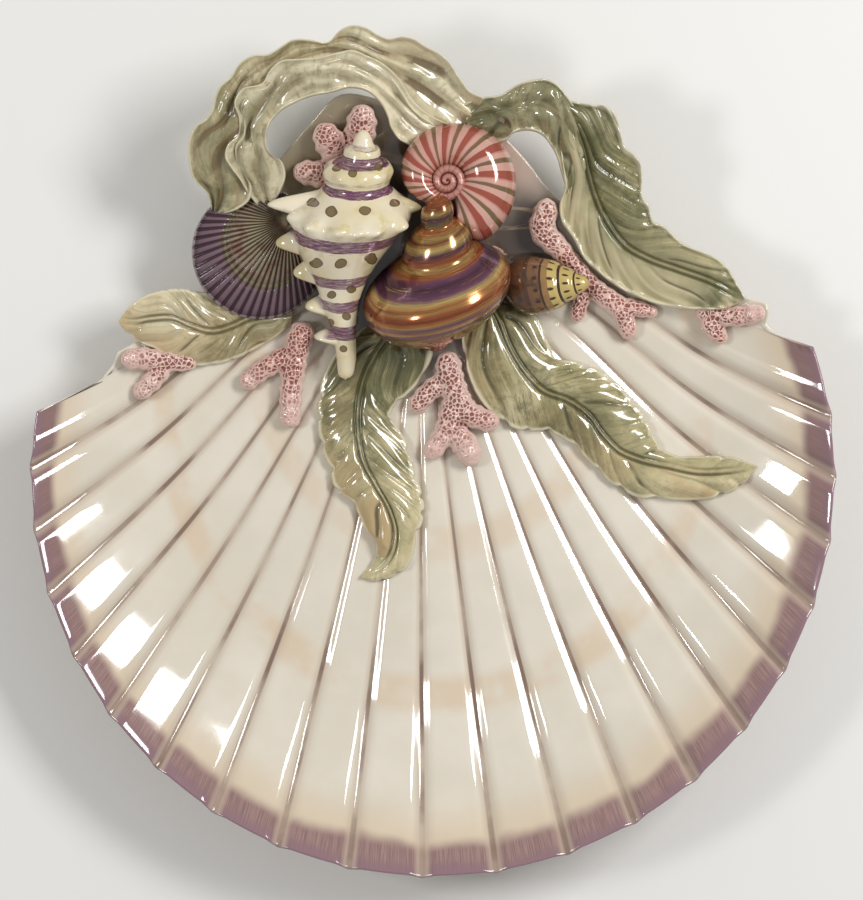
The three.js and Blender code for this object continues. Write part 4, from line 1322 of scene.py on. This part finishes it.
CORAL = glazed("coral_pink_glaze", coral_paint, gloss=0.17, coat=0.2)
corals = {
    "coral_upper": ((345, 150), 34, 80, [
        ([(352, 172), (358, 142), (362, 118), (364, 104)], [10, 11, 15, 12]),
        ([(348, 172), (336, 152), (325, 134), (318, 124)], [10, 12, 15, 11]),
        ([(350, 172), (325, 173), (305, 171), (292, 170)], [10, 11, 13, 10]),
    ]),
    "coral_far_left": ((166, 362), 14, 58, [
        ([(195, 362), (165, 361), (140, 358), (119, 360)], [7, 10, 11, 9]),
        ([(165, 362), (150, 380), (133, 397)], [9, 10, 8]),
    ]),
    "coral_left": ((298, 345), 26, 84, [
        ([(306, 320), (296, 345), (290, 385), (289, 428)], [13, 13, 11, 10]),
        ([(294, 352), (265, 366), (239, 386)], [12, 10, 9]),
    ]),
    "coral_centre": ((456, 382), 30, 84, [
        ([(447, 350), (452, 382), (464, 408), (500, 425)], [12, 13, 13, 10]),
        ([(450, 375), (428, 392), (410, 411)], [11, 10, 9]),
        ([(456, 395), (446, 430), (427, 459)], [12, 12, 9]),
        ([(450, 428), (466, 446), (475, 466)], [12, 13, 10]),
    ]),
    "coral_right": ((578, 264), 62, 108, [
        ([(548, 196), (547, 208), (543, 226), (560, 246), (580, 268), (600, 290), (622, 308), (633, 339)],
         [11, 13, 9, 9, 9, 11, 11, 8]),
        ([(590, 282), (582, 302), (577, 321)], [8, 8, 7]),
        ([(615, 304), (640, 307), (660, 312)], [9, 9, 6]),
    ]),
    "coral_far_right": ((710, 324), 22, 66, [
        ([(697, 310), (728, 316), (766, 312)], [7, 10, 9]),
        ([(706, 313), (717, 330), (727, 342)], [9, 10, 8]),
    ]),
}
for name, (heart, near, far, branches) in corals.items():
    dress(make_coral(name + "_pricked", heart, near, far, branches, CORAL), name, CORAL)

# %% [markdown]
# ## Spired shells
# A snail shell is turned about an axis, so its profile of whorls is spun, and each ring leans a little so
# that the bands climb as a spiral does. The marks are the distance from the apex and the turn about the axis.

# %% Spired shell builder
SHELL_SINK = 1.5
LEAST_RADIUS = 0.02


def spired(whorls, apex, heading, tilt, lean, sag=0.0, bumps=None, rows=260, sides=200):
    """Rings of a spun shell from distances along the axis with the reach to the left and right of it."""
    heading, tilt = math.radians(heading), math.radians(tilt)
    axis = np.array([math.cos(heading) * math.cos(tilt), math.sin(heading) * math.cos(tilt), math.sin(tilt)])
    side = np.array([math.sin(heading), -math.cos(heading), 0.0])
    up = np.cross(side, axis)
    profile = smooth_path(whorls, np.linspace(0, 1, rows))
    along, left, right = profile[:, :1], profile[:, 1:2], profile[:, -1:]
    radius = np.maximum((left + right) / 2, LEAST_RADIUS)
    turns = np.linspace(0, 2 * math.pi, sides, endpoint=False)[None, :]
    wide = radius if bumps is None else radius + bumps(along, turns, radius)
    down = along + radius * (sag * np.sin(turns) - lean * np.cos(turns))
    sideways = (right - left) / 2 + wide * np.cos(turns)
    upward = wide * np.sin(turns)
    rings = apex - down[..., None] * axis + sideways[..., None] * side + upward[..., None] * up
    low = seat(rings[..., 0], rings[..., 1]) - SHELL_SINK
    rings[..., 2] = np.maximum(rings[..., 2], low)
    marks = {"along": np.repeat(along, sides, 1), "turn": np.repeat(turns, rows, 0), "round": radius * turns}
    return rings, marks


def banded(tree, bands, length, waver, way="CONSTANT"):
    """Colour bands across the axis, with a hand's waver."""
    wander = (noise(place_of(tree), 160.0, 4.0) - 0.5) * waver
    stops = [(spot / length, colour) for spot, colour in bands]
    return ramp(mark(tree, "along") / length + wander, stops, way)


# %% [markdown]
# The turban shell is all lustre: gold, copper and purple bands that run round the whorls.

# %% Turban shell
TURBAN_LENGTH = 50.0
TURBAN_WHORLS = [(0, 0), (0.8, 2.2), (3, 4.2), (5.5, 4.9), (7.6, 4.7), (8.4, 4.7), (9.4, 6.2),
                 (11.5, 8.1), (14, 9.5), (16.5, 10.3), (18, 10.3), (18.8, 10.8), (20, 12.8), (22.5, 15.9),
                 (25.5, 19.3), (28.5, 21.3), (31.5, 21.6), (35, 20.6), (38.5, 18), (42, 13.6),
                 (44.5, 9.4), (46.5, 5.6), (48.5, 3.8), (50, 0.1)]
TURBAN_APEX = seated((437, 198), 37.0)
GOLD = srgb(170, 140, 82)
PALE_GOLD = srgb(206, 178, 110)
OLIVE_GOLD = srgb(122, 104, 64)
COPPER = srgb(166, 92, 50)
DARK_COPPER = srgb(120, 64, 36)
PURPLE = srgb(110, 70, 102)
DARK_PURPLE = srgb(70, 42, 62)
TURBAN_BANDS = [
    (0, COPPER), (2.6, DARK_COPPER), (3.6, GOLD), (5.1, DARK_PURPLE), (7.8, OLIVE_GOLD), (8.8, COPPER),
    (10.4, GOLD), (11.4, DARK_COPPER), (12.8, PALE_GOLD), (14.6, DARK_PURPLE), (17.2, COPPER), (18.6, GOLD),
    (20, COPPER), (20.8, PURPLE), (22, DARK_PURPLE), (24, PURPLE), (25.2, PALE_GOLD), (26.6, COPPER),
    (27.2, GOLD), (28, COPPER), (29.4, DARK_COPPER), (30, COPPER), (31, GOLD), (32, PURPLE), (33.6, GOLD),
    (34.2, PURPLE), (36, OLIVE_GOLD), (40, COPPER)]


def turban_paint(tree, mottle):
    """Lustre bands, streaked by a brush with dark copper and pale gold."""
    colour = banded(tree, TURBAN_BANDS, TURBAN_LENGTH, 0.016, "LINEAR")
    turn = mark(tree, "turn")
    round_axis = place_from(mark(tree, "along") * 5.0, calc(tree, "SINE", turn), calc(tree, "COSINE", turn))
    brush = noise(round_axis, 1.0, 4.0, 0.65)
    colour = mix(brush.step(0.5, 0.62, 0.0, 0.7), colour, DARK_COPPER)
    return mix(brush.step(0.41, 0.33, 0.0, 0.85), colour, PALE_GOLD)


rings, marks = spired(TURBAN_WHORLS, TURBAN_APEX, heading=90, tilt=29, lean=0.25)
dress(loft("turban_shell_banded", rings, **marks), "turban_shell",
      glazed("turban_lustre_glaze", turban_paint, gloss=0.14, lustre=0.6))

# %% [markdown]
# The spindle shell has stepped whorls, knobs on its shoulder and a row of spines down its lip. Spines and
# knobs are swellings of the radius, each with a place along the axis, a turn and a reach.

# %% Spindle shape
SPINDLE_WHORLS = [
    (0, 0, 0), (0.5, 1.2, 1.2), (2, 2.3, 2.3), (4.4, 3.3, 3.4), (5.4, 5, 5), (8.8, 5.9, 5.8),
    (10.2, 9.6, 8.6), (11.6, 10.8, 9.2), (16.4, 10.4, 8.8), (18.6, 11.9, 11.2), (22.4, 16.2, 15.2),
    (25, 18.2, 15.7), (27.5, 19, 14.6), (32, 18.2, 11.6), (39.4, 14.8, 6.9), (45.4, 11.2, 4),
    (53, 8, 2.2), (61.3, 4.6, 2.2), (69.5, 2.8, 2.7), (73.4, 2, 2), (74.8, 0.1, 0.1)]
LIP_TURN = math.pi
SPINES = [(23.2, LIP_TURN, 9.4, 5.4), (22.4, 0.0, 3.4, 3.6), (35.4, LIP_TURN, 6.2, 5.2),
          (44.2, LIP_TURN, 5.4, 4.8), (53.8, LIP_TURN, 5.6, 4.4), (62.6, LIP_TURN, 5.8, 3.8)]
SPINE_FOOT = 0.5
SPINE_HALF = 2.8
KNOB_TURNS = np.radians([35, 66, 83, 101, 131, 165])
KNOB_AT = 25.0
KNOB_RISE = 2.8
BEADS_AT = 12.0
BEAD_COUNT = 9


def apart(turns, turn):
    """Angle from one turn to another, the short way."""
    return (turns - turn + math.pi) % (2 * math.pi) - math.pi


def spindle_bumps(along, turns, radius):
    """Swelling of the radius: small beads, the spines and the knobs."""
    swell = 0.3 * np.cos(BEAD_COUNT * turns) * hump(along - BEADS_AT, 1.6)
    for spot, turn, reach, width in SPINES:
        below = np.where(along > spot, SPINE_FOOT * width, width)
        away = ((along - spot) / below) ** 2 + (apart(turns, turn) * radius / SPINE_HALF) ** 2
        swell = swell + reach * np.clip(1 - away, 0, 1) ** 1.5
    for turn in KNOB_TURNS:
        swell = swell + KNOB_RISE * hump(along - KNOB_AT, 2.2) * hump(apart(turns, turn) * radius, 2.5)
    return swell


def spine_mask(along, turns):
    """Where the spines stand, so that the bands leave them ivory."""
    mask = np.zeros(along.shape)
    for spot, turn, reach, width in SPINES:
        away = np.hypot((along - spot) / width, apart(turns, turn) / 0.6)
        mask = np.maximum(mask, 1 - ease(away, 0.6, 1.0))
    return mask


# %% Spindle paint and piece
SPINDLE_LENGTH = 75.0
SPINDLE_APEX = seated((364, 131), 33.0)
IVORY = srgb(228, 218, 194)
WARM_IVORY = srgb(214, 200, 160)
IVORY_YELLOW = srgb(198, 182, 108)
BAND_PURPLE = srgb(102, 56, 88)
SPOT_DARK = srgb(72, 56, 32)
SPOT_BROWN = srgb(112, 92, 56)
SPINDLE_SPOTS = [(313, 203, 6), (333, 213.6, 6.5), (365, 212.7, 6), (394, 204.5, 5.5), (353, 175.5, 5),
                 (337, 170, 4.5), (379, 169, 4.5), (317, 264, 6), (341, 264.5, 6.5), (371, 259, 6.5),
                 (332, 294.5, 5), (351, 289, 5), (329.5, 322, 4.5), (346, 316, 4.5), (343, 348, 4.5)]
SPINDLE_BANDS = [(0, 0.0), (4.0, 0.6), (5.2, 0.0), (7.0, 0.95), (9.4, 0.0), (13.4, 0.6), (14.6, 0.35),
                 (15.2, 1.0), (17.4, 0.25), (18.4, 0.0), (27, 0.5), (28, 0.95), (32.2, 0.4), (33, 0.0),
                 (41.6, 0.9), (45.2, 0.0), (49.6, 0.9), (53.2, 0.0), (57.6, 0.95), (62, 0.2), (62.8, 0.0)]


def spot_mask(rings, turns):
    """Oval spots dabbed on the upper side, each at a photograph pixel with its half width."""
    mask = np.zeros(turns.shape)
    for x, y, half in SPINDLE_SPOTS:
        offset = (rings[..., :2] - from_photo((x, y))) / (half * PIXEL)
        mask = np.maximum(mask, 1 - ease(np.hypot(offset[..., 0], 1.2 * offset[..., 1]), 0.4, 1.5))
    return mask * (np.sin(turns) > 0.05)


def spindle_paint(tree, mottle):
    """Ivory with yellow clouds, purple bands laid with a dry brush, and dark spots."""
    place = place_of(tree)
    colour = mix(mottle.step(0.36, 0.7), IVORY, WARM_IVORY)
    colour = mix(noise(place, 190.0, 2.0).step(0.52, 0.72) * 0.55, colour, IVORY_YELLOW)
    stops = [(spot, (value, value, value, 1.0)) for spot, value in SPINDLE_BANDS]
    band = banded(tree, stops, SPINDLE_LENGTH, 0.016)
    hairs = noise(place_from(mark(tree, "along") * 2.4, mark(tree, "round") * 0.22), 1.0, 5.0, 0.72)
    laid = (band * 0.55 + hairs).step(0.7, 1.1) * band.step(0.02, 0.1) * (1.0 - mark(tree, "spine"))
    colour = mix(laid, colour, BAND_PURPLE)
    shaky = noise(place, 300.0, 0.0) + mark(tree, "spot") - 0.5
    dab = mix(shaky.step(0.55, 0.8), SPOT_DARK, SPOT_BROWN)
    return mix(shaky.step(0.42, 0.52, 0.0, 0.95), colour, dab)


rings, marks = spired(SPINDLE_WHORLS, SPINDLE_APEX, heading=85.5, tilt=14, lean=0.05, sag=0.13,
                      bumps=spindle_bumps, rows=380, sides=250)
marks["spot"] = spot_mask(rings, marks["turn"])
marks["spine"] = spine_mask(marks["along"], marks["turn"])
dress(loft("spindle_shell_spotted", rings, **marks), "spindle_shell",
      glazed("spindle_ivory_glaze", spindle_paint))

# %% [markdown]
# The olive shell is small and plump, brown like tortoiseshell, with a yellow spire crossed by dark rings.

# %% Olive shell
OLIVE_LENGTH = 27.0
OLIVE_WHORLS = [(0, 0), (0.5, 1.2), (2, 2.4), (3.6, 3.2), (4.2, 3.5), (5, 4.3), (7.2, 5.3), (8, 5.6),
                (9, 6.4), (12.4, 7.7), (14, 8.1), (17, 8.6), (20, 8.4), (23.4, 6.8), (25.6, 4.4),
                (27, 0.1)]
OLIVE_APEX = seated((590, 282), 22.0)
YELLOW = srgb(190, 168, 104)
OLIVE_DARK = srgb(58, 38, 24)
TORTOISE = srgb(70, 46, 34)
OLIVE_BANDS = [(0, YELLOW), (3.4, OLIVE_DARK), (4, YELLOW), (7.4, OLIVE_DARK), (8.2, YELLOW),
               (10.6, srgb(148, 114, 70)), (12.4, OLIVE_DARK), (13, srgb(118, 84, 56)),
               (16.4, srgb(88, 60, 42)), (17.8, srgb(104, 70, 48)), (22, srgb(78, 54, 40))]
DASH_ROWS = ((2.6, 9, 0.7), (5.9, 12, 1.0), (10, 14, 1.0), (14.2, 14, 0.8))


def olive_dashes(along, turns):
    """Rows of dark dashes round the spire: distance from the apex, dashes in a turn, half length."""
    mask = np.zeros(along.shape)
    for spot, count, half in DASH_ROWS:
        around = turns / (2 * math.pi) * count
        away = np.hypot((along - spot) / half, (around - np.round(around)) / 0.17)
        mask = np.maximum(mask, 1 - ease(away, 0.7, 1.1))
    return mask


def olive_paint(tree, mottle):
    """Banded spire, mottled brown behind it, and rows of dark dashes."""
    colour = banded(tree, OLIVE_BANDS, OLIVE_LENGTH, 0.02)
    tortoise = noise(place_of(tree), 260.0).step(0.5, 0.62)
    colour = mix(tortoise * mark(tree, "along").step(11.0, 15.0, 0.1, 0.8), colour, TORTOISE)
    return mix(mark(tree, "dash"), colour, OLIVE_DARK)


rings, marks = spired(OLIVE_WHORLS, OLIVE_APEX, heading=2, tilt=20, lean=0.08)
marks["dash"] = olive_dashes(marks["along"], marks["turn"])
dress(loft("olive_shell_brown", rings, **marks), "olive_shell",
      glazed("olive_brown_glaze", olive_paint))

# %% [markdown]
# ## Coiled shell
# A ram's horn of a shell: a tube that grows as it winds, a few tight turns and then one wide one. One sweep
# along the spiral makes it, from the small turns in the middle out to the mouth.

# %% Coiled shell
COIL_MIDDLE = from_photo((447, 181))
COIL_TOP = 32.0
COIL_EYE_DROP = 1.6
COIL_SWEEP = math.radians(345)
COIL_MOUTH = math.radians(24)
COIL_TURNS_IN = 2.3
COIL_CLOSE = 3.6
COIL_CLOSE_AT = (4.0, 5.4)
COIL_OVERLAP = 1.05
COIL_HEADROOM = 1.0
COIL_SAMPLES = 600
COIL_ROWS = 460
COIL_SIDES = 64
COIL_TURNS = np.radians([-1200, -828, -720, -540, -360, -180, 0, 30, 60, 110, 186, 278, 345])
COIL_REACH = [0.1, 0.4, 1.1, 2.3, 3.6, 4.9, 6.2, 7.8, 10.2, 14.2, 17.2, 20.4, 20.6]


def make_coil():
    """Tube swept along the spiral, drawn in at the mouth."""
    turn = np.linspace(-2 * math.pi * COIL_TURNS_IN, COIL_SWEEP, COIL_ROWS)[:, None]
    swept = smooth_path(np.column_stack([COIL_TURNS, COIL_REACH]), np.linspace(0, 1, COIL_SAMPLES))
    outer = np.interp(turn, *swept.T)
    inner = np.interp(turn - 2 * math.pi, *swept.T) - COIL_CLOSE * ease(turn, *COIL_CLOSE_AT)
    half = np.maximum((outer - inner) / 2, 0.1) * COIL_OVERLAP
    tall = half + COIL_HEADROOM
    to_mouth = np.clip((COIL_SWEEP - turn) / COIL_MOUTH, 0.01, 1)
    closing = np.sqrt(to_mouth * (2 - to_mouth))
    around = np.linspace(0, 2 * math.pi, COIL_SIDES, endpoint=False)[None, :]
    wide = outer - half + half * closing * np.cos(around)
    crest = COIL_TOP - COIL_EYE_DROP * (1 - ease(outer, 4, 14))
    rise = crest - tall + tall * np.sin(around)
    angle = -math.pi / 2 - turn
    x = COIL_MIDDLE[0] + wide * np.cos(angle)
    y = COIL_MIDDLE[1] + wide * np.sin(angle)
    rings = np.dstack([x, y, np.maximum(rise, seat(x, y) - SHELL_SINK)])
    return loft("coiled_shell_striped", rings, wind=np.repeat(turn, COIL_SIDES, 1),
                around=np.repeat(around, COIL_ROWS, 0))


# %% Coiled shell paint
ROSE = srgb(190, 134, 122)
PALE_ROSE = srgb(206, 162, 148)
BRICK = srgb(152, 76, 60)
BRONZE = srgb(112, 94, 66)
EYE_ROSE = srgb(188, 138, 126)
EYE_BRICK = srgb(122, 64, 56)
WARM_ROSE = srgb(176, 96, 84)
STRIPES = [(0, PALE_ROSE), (0.06, BRICK), (0.36, ROSE), (0.42, PALE_ROSE), (0.6, ROSE), (0.63, BRONZE),
           (0.8, PALE_ROSE)]


def coil_paint(tree, mottle):
    """Rose with brick and bronze stripes, and a ticked seam round the eye."""
    wind = mark(tree, "wind")
    outwards = calc(tree, "COSINE", mark(tree, "around"))
    waver = (noise(place_of(tree), 150.0) - 0.5) * 0.12
    phase = (wind + outwards * -0.09) * 2.0 + 0.1
    stripes = ramp(calc(tree, "FRACT", phase + waver), STRIPES, "CONSTANT")
    seam = outwards.step(-0.55, -0.85)
    ticks = calc(tree, "FRACT", wind * 2.4).step(0.72, 0.8, 0.0, 0.5)
    eye = mix(calc(tree, "MAXIMUM", seam, ticks), EYE_ROSE, EYE_BRICK)
    colour = mix(wind.step(0.1, 0.35), eye, stripes)
    return mix(mottle.step(0.42, 0.7, 0.0, 0.22), colour, WARM_ROSE)


dress(make_coil(), "coiled_shell", glazed("coil_rose_glaze", coil_paint, lustre=0.15))

# %% [markdown]
# ## Fan shell
# The purple scallop is a small dome with fine ribs that spread from its beak, so the groove tree that ribs
# the dish ribs this too, with its own pitch and depth.

# %% Fan shell
FAN_MIDDLE, FAN_BEAK = from_photo([(258, 251), (287, 221)])
FAN_RADIUS = 66 * PIXEL
FAN_RIBS = 70
FAN_PITCH = 2 * math.pi / FAN_RIBS
FAN_EDGE = 5.8
FAN_RISE = 6.0
FAN_DIP = 6.2
FAN_STEP_AT = 0.67
FAN_STEP_WIDTH = 0.04
FAN_STEP_DEPTH = 0.6
FAN_ROWS = 60
FAN_LINES = 16 * FAN_RIBS
FAN_GROOVES = {
    "Width": 1.7 * MM, "Waist": 0.12, "Bottom": 0.05, "Depth": 0.9 * MM, "Crease width": 0.5 * MM,
    "Crease depth": 0.0, "Crown": 0.2 * MM, "Pitch": FAN_PITCH, "Last groove": 200.0,
    "Fade start": 0.5 * MM, "Fade end": 4 * MM,
}


def fan_rings(shares, distance, way):
    """Dome with a growth step, then its edge, its foot and a ring half way in underneath."""
    plan = FAN_BEAK + distance[..., None] * way
    ground = seat(plan[..., 0], plan[..., 1])
    growth_step = FAN_STEP_DEPTH * hump(shares - FAN_STEP_AT, FAN_STEP_WIDTH)
    height = FAN_EDGE + FAN_RISE * (1 - shares**2.2) - growth_step
    dip = FAN_DIP * ease((plan[..., 1] - FAN_MIDDLE[1]) / FAN_RADIUS, 0.1, 1.0)
    top = np.dstack([plan, ground + height[:, None] - dip])
    rim = np.dstack([plan[-1:] + 0.5 * way, top[-1:, :, 2] - 0.4 * FAN_EDGE])
    low = np.dstack([plan[-1:], np.minimum(ground[-1:] + HANDLE_UNDER, rim[..., 2] - 0.5)])
    middle = FAN_ROWS // 2
    deep_plan = FAN_BEAK + 0.5 * distance[-1:, :, None] * way
    deep = np.dstack([deep_plan, ground[middle:middle + 1] + HANDLE_UNDER])
    return np.concatenate([top, rim, low, deep])


def make_fan(material):
    """Ribbed dome, closed underneath."""
    angles = np.linspace(0, 2 * math.pi, FAN_LINES, endpoint=False)
    way = np.column_stack([np.cos(angles), np.sin(angles)])
    shares = np.linspace(0.05, 1, FAN_ROWS)
    distance = shares[:, None] * reach_to_circle(way, FAN_BEAK - FAN_MIDDLE, FAN_RADIUS)
    rings = fan_rings(shares, distance, way)
    share = np.repeat(np.concatenate([shares, np.ones(3)])[:, None], FAN_LINES, 1)
    far = np.concatenate([distance, np.repeat(distance[-1:], 3, 0)]) * MM
    press = np.zeros(rings.shape)
    press[:FAN_ROWS, :, 2] = -1.0
    press[FAN_ROWS, :, 2] = -0.6
    beak = np.array([*FAN_BEAK, seat(*FAN_BEAK)])
    piece = loft("fan_shell_ribbed", rings, [beak + (0, 0, FAN_EDGE + FAN_RISE), beak],
                 fan=np.tile(angles / FAN_PITCH, (len(rings), 1)), share=share, distance=far, press=press)
    run_tree(piece, PRESS_GROOVES, FAN_GROOVES, material)
    return piece


# %% Fan shell paint
# The last, pale stop is a painted highlight round the shell's edge.
FAN_TONES = [(0, srgb(120, 114, 90)), (0.35, srgb(146, 136, 108)), (0.58, srgb(136, 118, 100)),
             (0.645, srgb(118, 104, 84)), (0.66, srgb(132, 122, 90)), (0.69, srgb(104, 90, 76)),
             (0.72, srgb(116, 92, 102)), (0.93, srgb(102, 78, 90)), (0.985, srgb(70, 54, 60)),
             (1.0, srgb(150, 130, 140))]
RUDDY = srgb(112, 66, 52)
RIB_SHADE = srgb(52, 38, 38)


def fan_paint(tree, mottle):
    """Tones from the beak to the rim with a painted highlight on the edge, ruddy clouds, and painted shade
    between the ribs.
    """
    share, place = mark(tree, "share"), place_of(tree)
    colour = ramp((noise(place, 90.0) - 0.5) * 0.04 + share, FAN_TONES)
    ruddy = noise(place, 240.0, 2.0).step(0.52, 0.66) * 0.6 * share.step(0.72, 0.6)
    colour = mix(ruddy, colour, RUDDY)
    return mix(mark(tree, "groove").step(0.15, 0.85, 0.0, 0.82), colour, RIB_SHADE)


dress(make_fan(glazed("fan_purple_glaze", fan_paint, gloss=0.16)), "fan_shell", None)
